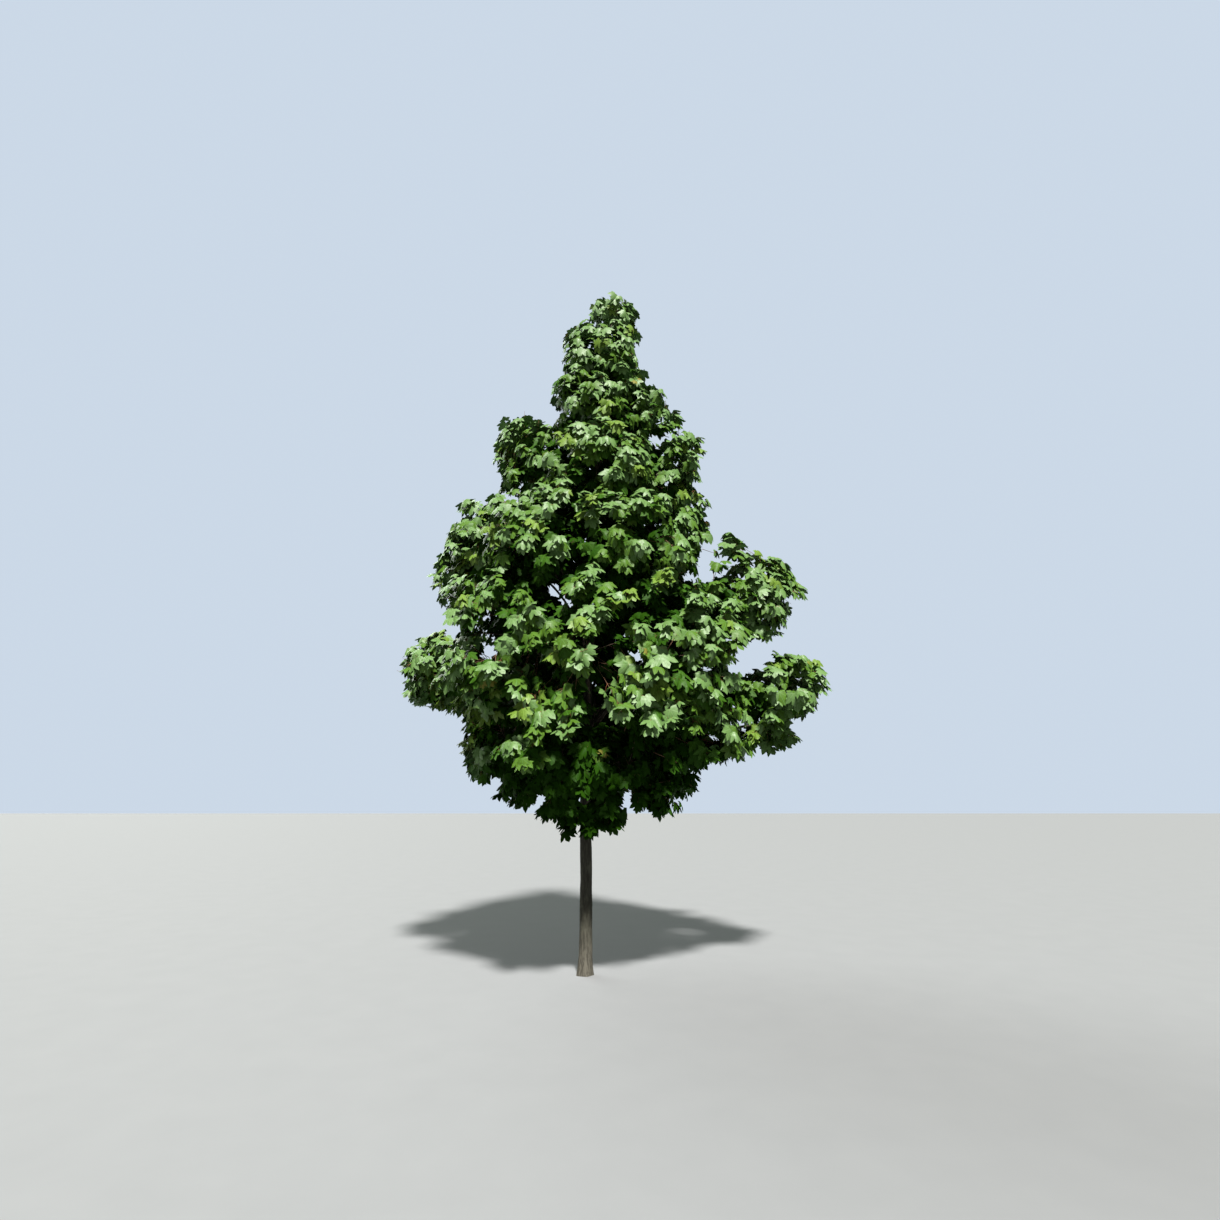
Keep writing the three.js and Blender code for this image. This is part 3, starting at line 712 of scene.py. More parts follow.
# Where the crown is open to the sky, as seen from in front: across, height and radius.
OPENINGS = [
    (-0.37, 3.84, 0.080), (-1.06, 3.12, 0.080), (1.12, 3.98, 0.060), (-0.95, 1.78, 0.055),
    (-0.85, 4.93, 0.040), (0.54, 3.10, 0.050), (-0.56, 6.05, 0.120), (-0.83, 6.02, 0.050),
    (0.92, 5.72, 0.050), (-1.17, 5.16, 0.065), (-1.20, 5.00, 0.045), (-1.33, 4.72, 0.035),
    (1.43, 4.52, 0.040), (1.34, 4.34, 0.045), (1.28, 4.17, 0.045), (1.32, 4.08, 0.060),
    (2.00, 4.27, 0.050), (-1.48, 3.38, 0.060), (1.77, 3.13, 0.095), (1.63, 2.97, 0.085),
    (1.92, 3.20, 0.050), (1.29, 2.95, 0.045), (2.16, 2.39, 0.050), (1.09, 5.79, 0.040),
    (1.79, 4.32, 0.040), (2.24, 3.74, 0.040), (1.25, 5.08, 0.035), (0.79, 5.70, 0.035),
    (-0.38, 6.03, 0.045), (0.68, 6.47, 0.030), (1.35, 4.72, 0.025), (1.40, 4.20, 0.030),
    (-1.22, 4.90, 0.030), (-2.00, 2.90, 0.020), (-0.90, 6.02, 0.025), (-1.09, 5.25, 0.025),
    (0.42, 1.57, 0.070), (0.43, 1.68, 0.040), (0.60, 1.46, 0.070), (-0.48, 1.60, 0.065),
    (-0.61, 1.48, 0.060), (0.45, 1.36, 0.060), (-0.30, 1.33, 0.040),
]
# Where its front is hollow and the eye meets only shade, the same way. Sprays there are also painted
# darker, as painted shade.
HOLLOWS = [
    (0.10, 2.82, 0.28), (0.07, 2.31, 0.22), (-0.61, 3.01, 0.20), (-1.09, 3.59, 0.18),
    (0.20, 3.22, 0.24), (-0.22, 4.19, 0.15), (0.52, 2.16, 0.22), (-0.58, 3.82, 0.15),
    (1.01, 2.17, 0.18), (-1.00, 2.38, 0.16), (0.43, 3.54, 0.12), (-0.28, 4.80, 0.12),
    (-1.07, 3.33, 0.14), (0.82, 4.47, 0.12), (1.54, 2.70, 0.15), (-0.37, 4.03, 0.15),
    (-0.14, 4.54, 0.12), (0.10, 5.25, 0.08), (-0.42, 5.05, 0.08), (-0.84, 4.03, 0.13),
    (-1.28, 3.79, 0.10), (0.68, 4.52, 0.10), (0.02, 4.66, 0.10), (0.91, 3.30, 0.09),
    (-0.47, 2.78, 0.13), (-0.51, 3.31, 0.10), (-1.28, 3.13, 0.12),
]
HOLLOW_BACK = -0.55


def beside_all(places, rounds):
    """How far outside every one of some rounds each place is seen."""
    across, up = as_seen(places)
    return np.min([np.hypot(across - x, up - z) - radius for x, z, radius in rounds], axis=0)


# How far the crown reaches to the front from the trunk's axis: height and reach.
FRONT = [
    (1.3, 0.45), (1.7, 0.85), (2.1, 1.20), (2.4, 1.46), (3.0, 1.56), (3.9, 1.48), (4.6, 1.24),
    (5.4, 0.96), (6.2, 0.72), (7.6, 0.50),
]
FRONT_FACING = 0.3
FRONT_WIDENING = 0.35
FRONT_EXCESS = 0.3


def drawn_in(point):
    """The point, drawn back where it stands too far out in front."""
    axis = trunk_axis(point.z)
    away = Vector((point.x - axis.x, point.y - axis.y, 0))
    facing = -away.y / away.length
    if facing < FRONT_FACING:
        return point
    heights, reaches = zip(*FRONT)
    limit = np.interp(point.z, heights, reaches) * (1 + FRONT_WIDENING * (1 - facing))
    over = away.length - limit
    if over <= 0:
        return point
    return point - away.normalized() * (over * (1 - FRONT_EXCESS))


def side_twigs(mass):
    twist = next(stream(mass["index"] + 101)) * 2 * math.pi
    leaf_size = max(min(*mass["half"], FULL_HALF) / FULL_HALF, SMALLEST_LEAF)
    lift = UP * (TWIG_LIFT * LEAF_LENGTH_IN_SOLIDS * leaf_size)
    stem = mass["stem_curve"]
    joints = {share: 0 for share in TWIG_JOINTS}
    twigs = []
    for i in range(TWIG_COUNT):
        share = TWIG_FARTHEST
        while True:
            end = spread_point(mass, i, TWIG_COUNT, twist, share) + lift
            share -= 0.05
            if share <= TWIG_NEAREST or in_space(mass, end, TWIG_SKIN, 0.03):
                break
        if share <= TWIG_NEAREST:
            continue

        def miss(joint):
            way = end - curve_point(stem, joint)
            return abs(way.angle(curve_along(stem, joint)) - TWIG_SPREAD)

        joint = min((j for j in TWIG_JOINTS if joints[j] < 2), key=miss)
        start = curve_point(stem, joint)
        if (end - start).length < TWIG_SHORTEST:
            continue
        joints[joint] += 1
        end = drawn_in(end)
        bend = start.lerp(end, 0.5) + curve_along(stem, joint) * 0.02
        twigs.append(trimmed((start, bend, end)))
    return twigs


def skin_area(half):
    a, b, c = (h**1.6075 for h in half)
    return 4 * math.pi * ((a * b + a * c + b * c) / 3) ** (1 / 1.6075)


def shoots_of(mass, twigs):
    """Leafy shoots of a mass: an outer and an inner layer, and its twigs and stem, which are leafy
    too. Each shoot starts from the nearest joint at a fair angle."""
    chance = stream(mass["index"] + 301)
    joints = [(mass["stem_curve"], t) for t in np.linspace(0.06, 0.97, 13)]
    joints += [(twig, t) for twig in twigs for t in SHOOT_JOINTS]
    places = [(curve_point(c, t), curve_along(c, t)) for c, t in joints]
    outer = round(skin_area(mass["half"]) / SHOOT_SPACING**2)
    inner = round(outer * (INNER_SHARE_BACK if 20 < mass["az"] < 160 else INNER_SHARE))
    shoots = []
    for layer, count in (("outer", outer), ("inner", inner)):
        near, far = SHOOT_LAYERS[layer]
        twist = next(chance) * 2 * math.pi
        for i in range(count):
            share = near + (far - near) * next(chance)
            if layer == "outer" and next(chance) < LONG_SHOOTS:
                share += LONG_SHOOT_OUT
            skin = spread_point(mass, i, count, twist, 1)
            swell = lumps.noise(skin * LUMP_SCALE)
            share += LUMP_DEPTH * swell * (1 if layer == "outer" else 0.3)
            if layer == "outer":
                if lumps.noise(skin * HOLLOW_SCALE + HOLLOW_SHIFT) < HOLLOW_BELOW:
                    continue
                beyond = spread_point(mass, i, count, twist, 1.25)
                near_skin = min(skin_share(other, beyond) for other in MASSES if other is not mass)
                if near_skin < NEIGHBOUR_NEAR:
                    share += FILL_OUT * (NEIGHBOUR_NEAR - near_skin)
                if mass["name"].startswith("skirt"):
                    share += SKIRT_OUT
            wanted = share
            while share > LEAST_SHARE:
                end = spread_point(mass, i, count, twist, share)
                if in_space(mass, end, SHOOT_SKIN, 0.02):
                    break
                share -= 0.06
            if share <= LEAST_SHARE or (share < wanted - 0.05 and next(chance) < DROPPED_SHARE):
                continue
            end = drawn_in(end)

            def cost(place):
                way = end - place[0]
                if way.length < 0.05:
                    return 9
                turned = abs(way.angle(place[1]) - SHOOT_SPREAD)
                return way.length + 0.22 * turned + 0.15 * max(0, -way.normalized().z)

            start, ahead = min(places, key=cost)
            length = (end - start).length
            if not SHOOT_LENGTHS[0] <= length <= SHOOT_LENGTHS[1]:
                continue
            bend = start.lerp(end, 0.45) + ahead * (0.12 * length) + UP * (-0.04 * length)
            shoots.append(dict(curve=(start, bend, end), mass=mass))
    for twig in twigs:
        shoots.append(dict(curve=twig, mass=mass, is_twig=True))
    shoots.append(dict(curve=mass["stem_curve"], mass=mass, is_twig=True))
    return shoots


all_twigs, all_shoots = [], []
for mass in MASSES:
    twigs = side_twigs(mass)
    all_twigs += twigs
    all_shoots += shoots_of(mass, twigs)


TIP_RISE = 0.12


def bearer(tip):
    """The mass whose limb bears a shoot that rises to this tip."""
    return min(MASSES, key=lambda mass: skin_share(mass, tip - UP * TIP_RISE))


def shoot_to(tip, mass, back, middle, rise, **more):
    """A shoot to a tip from the nearest part of a mass's stem, or from a little back along it."""
    limb = mass["stem_curve"]
    joint = min(np.linspace(0.1, 0.95, 12), key=lambda t: (tip - curve_point(limb, t)).length)
    start = curve_point(limb, max(0.05, joint - back))
    bend = start.lerp(tip, middle) + UP * (rise * (tip - start).length)
    return dict(curve=(start, bend, tip), mass=mass, **more)


EDGE_SPACING = 0.15
EDGE_INSIDE = 0.03
EDGE_FARTHEST = 1.55


def edge_shoots():
    """Shoots whose tips follow the crown's outline, each from the mass that it lies nearest."""
    rim = [(left, height, 1) for height, left, _ in OUTLINE]
    rim += [(right, height, -1) for height, _, right in reversed(OUTLINE)]
    shoots = []
    walked = 0.0
    for (x, z, side), (next_x, next_z, _) in zip(rim, rim[1:]):
        length = math.hypot(next_x - x, next_z - z)
        walked += length
        while walked > EDGE_SPACING:
            walked -= EDGE_SPACING
            share = 1 - walked / length
            across = x + (next_x - x) * share + side * EDGE_INSIDE
            up = z + (next_z - z) * share
            tips = [seen_at(across, up, mass["middle"].y) for mass in MASSES]
            reaches = [skin_share(mass, tip - UP * TIP_RISE) for mass, tip in zip(MASSES, tips)]
            nearest = reaches.index(min(reaches))
            if reaches[nearest] <= EDGE_FARTHEST:
                shoots.append(shoot_to(tips[nearest], MASSES[nearest], 0.2, 0.5, 0.10))
    return shoots


# Tips of extra shoots that close chance gaps through the crown, most of them at its back.
BACK_FILL = [
    (0.10, 0.75, 3.50), (0.30, 0.85, 3.58), (-0.08, 0.90, 3.62), (0.18, 1.05, 3.72),
    (0.40, 1.00, 3.50), (0.05, 1.15, 3.45), (0.28, 0.70, 3.38), (0.10, 0.95, 3.86),
    (-0.30, 0.80, 3.20), (-0.45, 0.95, 3.35), (0.85, 0.80, 3.55), (1.00, 0.70, 3.35),
    (0.22, 0.60, 3.62), (0.34, 1.15, 3.60), (1.30, 0.30, 3.15), (1.45, 0.20, 3.05),
    (-1.00, 0.30, 5.55), (0.75, 0.25, 6.35), (1.38, 0.30, 3.98), (1.15, 0.25, 3.98),
    (1.75, 0.20, 2.95), (-1.60, 0.20, 3.98), (1.25, 0.20, 4.78), (-0.72, 0.35, 5.10),
    (0.80, 0.05, 6.32), (1.92, -0.10, 2.98), (2.25, -0.10, 3.10), (2.26, -0.10, 3.93),
    (0.70, 0.50, 4.80), (0.72, 0.90, 4.96), (2.05, -0.05, 3.48), (1.60, -0.05, 4.50),
    (1.60, -0.25, 4.36), (1.64, 0.20, 4.48), (1.36, -0.05, 4.55), (1.04, -0.05, 6.00),
    (-1.12, 0.50, 3.75), (0.18, 0.45, 3.42), (0.16, 0.60, 3.50), (1.44, 0.10, 3.98),
    (-1.50, 0.05, 3.70),
]


def fill_shoots():
    tips = [Vector(place) for place in BACK_FILL]
    return [shoot_to(tip, bearer(tip), 0, 0.5, 0.06) for tip in tips]


# Sunlit sprays that stand out as ledges, most in the lower crown in front: across and height. Their
# leaves are also given painted light, a paler colour kind.
LEDGES = [
    (-0.96, 3.00), (-0.99, 2.76), (-0.75, 2.71), (-0.59, 2.64), (-0.70, 2.48), (-0.49, 2.44),
    (-0.23, 2.28), (-0.82, 2.14), (-0.54, 2.27), (-0.37, 3.12), (-0.66, 1.98), (-1.13, 2.61),
    (0.36, 2.49), (0.57, 2.65), (0.94, 2.59), (0.88, 2.42), (1.14, 2.34),
    (1.42, 2.36), (1.25, 2.50), (0.68, 2.36), (0.77, 2.74), (1.08, 2.64), (0.31, 2.54),
    (2.28, 3.08), (1.34, 4.46), (1.86, 4.05),
]
LEDGE_REACH = 1.52
LEDGE_LEAST_DEPTH = 0.3
# How much painted light a ledge's spray gets in the choice of its leaf colour.
LEDGE_PAINTED_LIGHT = 0.20


def ledge_shoots():
    shoots = []
    for across, up in LEDGES:
        depth = -math.sqrt(max(LEDGE_REACH**2 - across**2, LEDGE_LEAST_DEPTH))
        tip = seen_at(across, up, depth)
        shoots.append(shoot_to(tip, bearer(tip), 0.2, 0.55, 0.12, lit=LEDGE_PAINTED_LIGHT))
    return shoots


all_shoots += edge_shoots() + fill_shoots() + ledge_shoots()


OUTSIDE_MOST = 0.03
BESIDE_LEAST = 0.01


def places_at(curves, t):
    return np.array([list(curve_point(curve, t)) for curve in curves])


def well_placed(curves):
    """Whether each shoot keeps inside the outline and out of the openings and front hollows."""
    inside = np.min([inside_outline(places_at(curves, t)) for t in (0.4, 0.7, 1)], axis=0)
    beside = np.min([beside_all(places_at(curves, t), OPENINGS) for t in (0.5, 0.75, 1)], axis=0)
    near_tip = places_at(curves, 0.9)
    hollow = (beside_all(near_tip, HOLLOWS) < 0) & (near_tip[:, 1] < HOLLOW_BACK)
    return (inside > -OUTSIDE_MOST) & (beside > BESIDE_LEAST) & ~hollow


for shoot, kept in zip(list(all_shoots), well_placed([shoot["curve"] for shoot in all_shoots])):
    if not kept and shoot["curve"] is not shoot["mass"]["stem_curve"]:
        all_shoots.remove(shoot)
all_twigs = [twig for twig, kept in zip(all_twigs, well_placed(all_twigs)) if kept]


def unit(v):
    return v / np.maximum(np.linalg.norm(v, axis=-1, keepdims=True), 1e-9)


def square_to(along, hint):
    """Unit vectors square to along, as near to the hint as can be."""
    return unit(hint - along * (hint * along).sum(-1, keepdims=True))


def tubes(curves, foot, tip, rings, sides):
    """Points and faces of tapering closed tubes along curves, an array of (n, 3, 3)."""
    t = np.linspace(0, 1, rings + 1)[None, :, None]
    a, b, c = (curves[:, i, None, :] for i in range(3))
    middle = a * (1 - t) ** 2 + b * (2 * t * (1 - t)) + c * t**2
    ahead = unit((b - a) * (1 - t) + (c - b) * t)
    hint = np.where(np.abs(ahead[:, :1, 2:]) > 0.9, [[[1.0, 0, 0]]], [[[0, 0, 1.0]]])
    over = square_to(ahead, np.broadcast_to(hint, ahead.shape))
    right = np.cross(over, ahead)
    turn = 2 * np.pi * np.arange(sides) / sides
    foot, tip = (np.broadcast_to(np.asarray(r, float), len(curves))[:, None] for r in (foot, tip))
    radius = (foot + (tip - foot) * t[0, :, 0])[:, :, None, None]
    ring = right[:, :, None] * np.cos(turn)[:, None] + over[:, :, None] * np.sin(turn)[:, None]
    points = (middle[:, :, None] + ring * radius).reshape(len(curves), -1, 3)
    quads = []
    for s in range(sides):
        n = (s + 1) % sides
        for k in range(0, rings * sides, sides):
            quads.append((k + s, k + n, k + sides + n, k + sides + s))
    ends = [range(sides - 1, -1, -1), range(rings * sides, (rings + 1) * sides)]
    step = np.arange(len(curves))[:, None, None] * points.shape[1]
    faces = [np.array([list(f) for f in group])[None] + step for group in (quads, ends)]
    return points.reshape(-1, 3), [f.reshape(-1, f.shape[2]) for f in faces]


def joined_mesh(name, points, faces):
    """One mesh from an array of points and arrays of faces with 3 or 4 corners."""
    mesh = bpy.data.meshes.new(name)
    mesh.vertices.add(len(points))
    mesh.vertices.foreach_set("co", np.asarray(points, np.float32).ravel())
    corners = np.concatenate([f.ravel() for f in faces]).astype(np.int32)
    sizes = np.concatenate([np.full(len(f), f.shape[1]) for f in faces])
    mesh.loops.add(len(corners))
    mesh.loops.foreach_set("vertex_index", corners)
    mesh.polygons.add(len(sizes))
    starts = np.concatenate([[0], np.cumsum(sizes)[:-1]]).astype(np.int32)
    mesh.polygons.foreach_set("loop_start", starts)
    mesh.polygons.foreach_set("use_smooth", np.ones(len(sizes), bool))
    mesh.update(calc_edges=True)
    mesh.validate()
    obj = bpy.data.objects.new(name, mesh)
    bpy.context.scene.collection.objects.link(obj)
    return obj


def twig_material(name, body, pale, furrow_colour):
    return bark_material(name, body, pale, furrow_colour, grain=160)


foliage_nodes = ["foliage_" + mass["name"] for mass in MASSES]


def foliage_piece(obj, material):
    obj.data.materials.append(material)
    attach(obj, "root")
    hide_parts(*foliage_nodes)


def as_array(curves):
    return np.array([[list(p) for p in curve] for curve in curves], float)


foliage_piece(
    joined_mesh("twigs", *tubes(as_array(all_twigs), TWIG_RADIUS, TWIG_TIP_RADIUS, 6, 6)),
    twig_material("twig_bark", (0.085, 0.060, 0.040), (0.16, 0.125, 0.09), (0.035, 0.024, 0.016)),
)
shoot_curves = as_array([s["curve"] for s in all_shoots if not s.get("is_twig")])
foliage_piece(
    joined_mesh("shoots", *tubes(shoot_curves, SHOOT_RADIUS, SHOOT_TIP_RADIUS, 4, 5)),
    twig_material("shoot_bark", (0.14, 0.072, 0.042), (0.21, 0.13, 0.075), (0.055, 0.026, 0.016)),
)

# ---- The leaves and their stalks ----------------------------------------------------------------
# Leaves stand in pairs along each shoot on long stalks, red in the light and green in the shade,
# each pair square to the last. The blades are thin, leathery and five-lobed, folded along their
# veins, and hang tip down with the face to the light. One blade is drawn and laid out by arrays.

STALK_LENGTHS = (0.040, 0.085)
STALK_RADIUS = 0.0013
NODE_STEPS = [0.012, 0.055, 0.105, 0.16, 0.22, 0.29, 0.37]
LEAFY_SHARE = 0.72
LEAFY_MOST = 0.42
LEAFY_ON_TWIG = 0.25
LEAF_SIZES = (0.106, 0.154)
SMALLEST_AT_TIP = 0.74
TRUNK_CLEARANCE = 0.05
LIGHT_LINES = [(15, 0), (40, -35), (40, 35), (60, 0), (80, 180), (10, -50), (10, 50)]
LIGHT_SHIFT = Vector((2.2, 5.6, 9.1))

# The right half of the blade, a leaf length from stalk to tip: across, along, how far it stands
# up between the veins, and how near it lies to a vein.
BLADE_HALF = dict(
    foot=(0.00, 0.00, 0.000, 1.0),
    vein_middle=(0.00, 0.55, -0.010, 1.0),
    tip=(0.00, 1.00, 0.000, 1.0),
    notch=(0.225, 0.505, 0.030, 0.0),
    tooth=(0.240, 0.735, 0.012, 0.15),
    vein_side=(0.330, 0.330, -0.008, 1.0),
    side_tip=(0.660, 0.640, 0.000, 1.0),
    side_tooth_in=(0.400, 0.625, 0.012, 0.15),
    side_tooth_out=(0.595, 0.370, 0.012, 0.15),
    low_notch=(0.460, 0.130, 0.026, 0.0),
    vein_low=(0.260, -0.020, -0.006, 1.0),
    low_tip=(0.510, -0.100, 0.000, 1.0),
    heel=(0.150, -0.135, 0.015, 0.1),
)
BLADE_FACES = [
    ("foot", "notch", "vein_middle"), ("notch", "tooth", "vein_middle"),
    ("tooth", "tip", "vein_middle"),
    ("foot", "vein_side", "notch"), ("vein_side", "side_tooth_in", "notch"),
    ("vein_side", "side_tip", "side_tooth_in"),
    ("foot", "low_notch", "vein_side"), ("low_notch", "side_tooth_out", "vein_side"),
    ("side_tooth_out", "side_tip", "vein_side"),
    ("foot", "vein_low", "low_notch"), ("vein_low", "low_tip", "low_notch"),
    ("foot", "heel", "vein_low"), ("heel", "low_tip", "vein_low"),
]
MIDLINE = ("foot", "vein_middle", "tip")


def whole_blade():
    """Points (across, along, up, vein) and faces of a blade, both halves."""
    names = list(BLADE_HALF)
    mirrored = [n for n in names if n not in MIDLINE]
    points = [BLADE_HALF[n] for n in names]
    points += [(-BLADE_HALF[n][0], *BLADE_HALF[n][1:]) for n in mirrored]
    left = {n: names.index(n) for n in MIDLINE}
    left.update({n: len(names) + i for i, n in enumerate(mirrored)})
    faces = [[names.index(n) for n in face] for face in BLADE_FACES]
    faces += [[left[n] for n in reversed(face)] for face in BLADE_FACES]
    return np.array(points), np.array(faces)


def ramp(value, full):
    """A share that rises from 0 at nothing to 1 at full."""
    return np.clip(value / full, 0, 1)


def hump(value, width):
    return np.exp(-((value / width) ** 2))


def leaves_on(shoot, rng):
    """Places, directions and sizes of the leaves of one shoot, as rows of an array."""
    a, b, c = (np.array(p) for p in shoot["curve"])
    length = (shoot["curve"][2] - shoot["curve"][0]).length
    leafy = LEAFY_ON_TWIG if shoot.get("is_twig") else min(length * LEAFY_SHARE, LEAFY_MOST)
    steps = np.array([s for s in NODE_STEPS if s < leafy])
    t = (1 - steps / length)[:, None]
    node = a * (1 - t) ** 2 + b * (2 * t * (1 - t)) + c * t**2
    ahead = unit((b - a) * (1 - t) + (c - b) * t)
    level = square_to(ahead, np.cross(ahead, [0, 0, 1.0]) + 1e-6)
    raised = np.cross(level, ahead)
    turn = rng.uniform(0, 2 * np.pi) + np.arange(len(steps)) * np.pi / 2
    side = level * np.cos(turn)[:, None] + raised * np.sin(turn)[:, None]
    rank = np.arange(len(steps)) / max(len(NODE_STEPS) - 1, 1)
    node, ahead, rank = (np.concatenate([v, v]) for v in (node, ahead, rank))
    side = np.concatenate([side, -side])
    count = len(node)
    stray = rng.uniform(-1, 1, (count, 3))
    middle = np.array(shoot["mass"]["middle"])
    outward = unit(node - middle)
    level_away = (node - np.array(trunk_axis(1.0))) * [1, 1, 0.0]
    away = unit(level_away)
    way = unit(side * 0.8 + ahead * 0.55 + outward * 0.35 + [0, 0, 0.15] + stray * 0.25)
    low, high = STALK_LENGTHS
    stalk = (low + (high - low) * rank * rng.uniform(0.7, 1.2, count))[:, None]
    root = node + way * stalk
    outward[:, 2] = np.maximum(outward[:, 2], 0)
    reach = np.linalg.norm(level_away[:, :2], axis=1)
    # On the arms, which begin nearer the trunk in the slimmer top, blades turn more to the front.
    slimmer = 0.45 * ramp(node[:, 2] - 4.6, 0.8)
    arm = ramp(reach - 1.3 + slimmer, 0.5)[:, None]
    face = outward * 0.55 + away * (0.50 - 0.38 * arm) + [0, 0, 0.50] + arm * [0, -0.35, 0.10]
    face = unit(face + rng.uniform(-1, 1, (count, 3)) * 0.62)
    hint = way * 0.30 + away * 0.15 + [0, 0, -1.0] + rng.uniform(-1, 1, (count, 3)) * 0.46
    down = square_to(face, hint)
    low, high = LEAF_SIZES
    grown = SMALLEST_AT_TIP + (1 - SMALLEST_AT_TIP) * np.minimum(rank * 2.4, 1)
    size = rng.uniform(low, high, count) * grown
    return np.column_stack([node, root, down, face, size, rank])


COLUMNS = dict(
    node=slice(0, 3), root=slice(3, 6), down=slice(6, 9), face=slice(9, 12), size=12, rank=13
)
rng = np.random.default_rng(20)
leaves_of = [leaves_on(shoot, rng) for shoot in all_shoots]
leaves = np.concatenate(leaves_of)
row_shoot = np.repeat(np.arange(len(all_shoots)), [len(made) for made in leaves_of])


ROOM_SHARE = 0.03
ROOM_MORE = 0.010
BLADE_ROOM = 0.06


def well_hung(leaves):
    """Whether each leaf is clear of the trunk, within the solids' reach, inside the outline and
    out of the openings."""
    root, size = leaves[:, COLUMNS["root"]], leaves[:, COLUMNS["size"]]
    blade = leaves[:, COLUMNS["down"]] * size[:, None]
    centre, tip = root + blade * 0.45, root + blade
    axis = np.array([list(trunk_axis(z)) for z in centre[:, 2]])
    clear = np.linalg.norm((centre - axis)[:, :2], axis=1) > FOOT_RADIUS + TRUNK_CLEARANCE
    low, high = (np.array(corner) for corner in cad_box)
    room = (high - low) * ROOM_SHARE + ROOM_MORE - BLADE_ROOM
    for place in (centre, tip):
        clear &= ((place > low - room) & (place < high + room)).all(1)
    inside, beside = inside_outline(centre), beside_all(centre, OPENINGS)
    proud = rng.uniform(-0.10, 0.06, len(all_shoots))[row_shoot]
    clear &= (inside > proud) & (beside > 0.3 * size)
    return clear


clear = well_hung(leaves)
leaves, row_shoot = leaves[clear], row_shoot[clear]

# Painted light and shade for each spray: how far it stands out into the light, that is, over some
# lines outward and upward, how few other sprays are close in front of it. Where it is in the crown
# then adds or takes some. The leaf colours below are dealt by it.
tips = np.array([list(s["curve"][2]) for s in all_shoots])
gap = tips[None] - tips[:, None]
apart = np.linalg.norm(gap, axis=2) + 1e-6
axis = np.array([list(trunk_axis(z)) for z in tips[:, 2]])
level_out = unit((tips - axis) * [1, 1, 0.0])
level_side = np.cross([0, 0, 1.0], level_out)
painted_light = rng.uniform(0, 0.02, len(tips))
for rise, turn in LIGHT_LINES:
    rise, turn = math.radians(rise), math.radians(turn)
    line = (level_out * math.cos(turn) + level_side * math.sin(turn)) * math.cos(rise)
    line = line + [0, 0, math.sin(rise)]
    ahead = (gap * line[:, None]).sum(2)
    in_way = (ahead > 0.06) & (ahead < 0.65) & (ahead > apart * 0.88)
    painted_light += np.exp(-0.5 * in_way.sum(1)) / len(LIGHT_LINES)
far_out = np.linalg.norm(tips - axis, axis=1)
height = tips[:, 2]
# Painted light at the ends of the arms, the sides of the top, and the rim, most of all high up.
painted_light += 0.55 * ramp(far_out - 1.45, 0.45)
painted_light += 0.26 * ramp(far_out - 0.9, 0.3) * ramp(height - 4.9, 0.5)
painted_light += (0.20 + 0.16 * ramp(height - 4.8, 0.4)) * hump(inside_outline(tips), 0.22)
# A painted sunlit belt round the skirt, and a belt of painted shade above it in the middle of the
# crown.
painted_light += 0.14 * hump(height - 2.45, 0.33) * ramp(far_out - 0.8, 0.4)
painted_light -= 0.30 * hump(height - 3.35, 0.75) * ramp(1.15 - abs(tips[:, 0] - 0.1), 0.4)
# Painted light on the top, painted shade on the underside and in the hollows, painted light on the
# ledges, and a little chance from place to place.
painted_light += 0.05 * ramp(height - 5.4, 1.2)
painted_light -= 1.2 * ramp(2.10 - height, 0.45)
painted_light -= 0.50 * (beside_all(tips, HOLLOWS) < 0)
painted_light += [shoot.get("lit", 0) for shoot in all_shoots]
painted_light += 0.16 * np.array([lumps.noise(Vector(tip) * 2.4 + LIGHT_SHIFT) for tip in tips])
rank = np.argsort(np.argsort(-painted_light)) / len(painted_light)

# Kinds of leaf, from the best lit sprays to the deepest: name, share of the sprays, gloss, colour of
# the upper face, of the under face, and of the veins. The first two are dealt out by chance. The
# others are painted light and painted shade: paler colours on sprays that stand out into the light,
# darker ones, down to near black-green, on sprays in shade.
LEAF_KINDS = [
    ("bronze", 0.00, 0.25, (0.135, 0.128, 0.018), (0.14, 0.13, 0.03), (0.20, 0.17, 0.04)),
    ("young", 0.00, 0.28, (0.092, 0.160, 0.018), (0.12, 0.19, 0.04), (0.16, 0.25, 0.05)),
    ("painted_light", 0.25, 0.44, (0.082, 0.160, 0.040), (0.10, 0.18, 0.07), (0.13, 0.22, 0.08)),
    ("painted_half_light", 0.15, 0.22, (0.052, 0.112, 0.009), (0.065, 0.14, 0.04), (0.08, 0.18, 0.045)),
    ("mid", 0.15, 0.09, (0.024, 0.068, 0.004), (0.034, 0.096, 0.013), (0.042, 0.12, 0.016)),
    ("painted_shade", 0.20, 0.06, (0.0145, 0.047, 0.0025), (0.015, 0.060, 0.005), (0.018, 0.072, 0.006)),
    ("painted_deep_shade", 1.00, 0.04, (0.0115, 0.039, 0.0016), (0.013, 0.044, 0.002), (0.015, 0.052, 0.003)),
]
YOUNG_RANK, YOUNG_SHARE = 0.42, 0.14
BRONZE_RANK, BRONZE_SHARE, BRONZE_SIZE = 0.5, 0.025, 0.62
stray_rank = np.clip(rank + rng.normal(0, 0.07, len(rank)), 0, 1)
stray_rank = np.argsort(np.argsort(stray_rank)) / len(rank)
shares = np.cumsum([kind[1] for kind in LEAF_KINDS[:-1]])
spray_kind = np.searchsorted(shares, stray_rank, side="right")
spray_kind = np.clip(spray_kind, 2, len(LEAF_KINDS) - 1)
spray_kind[(stray_rank < YOUNG_RANK) & (rng.uniform(0, 1, len(rank)) < YOUNG_SHARE)] = 1
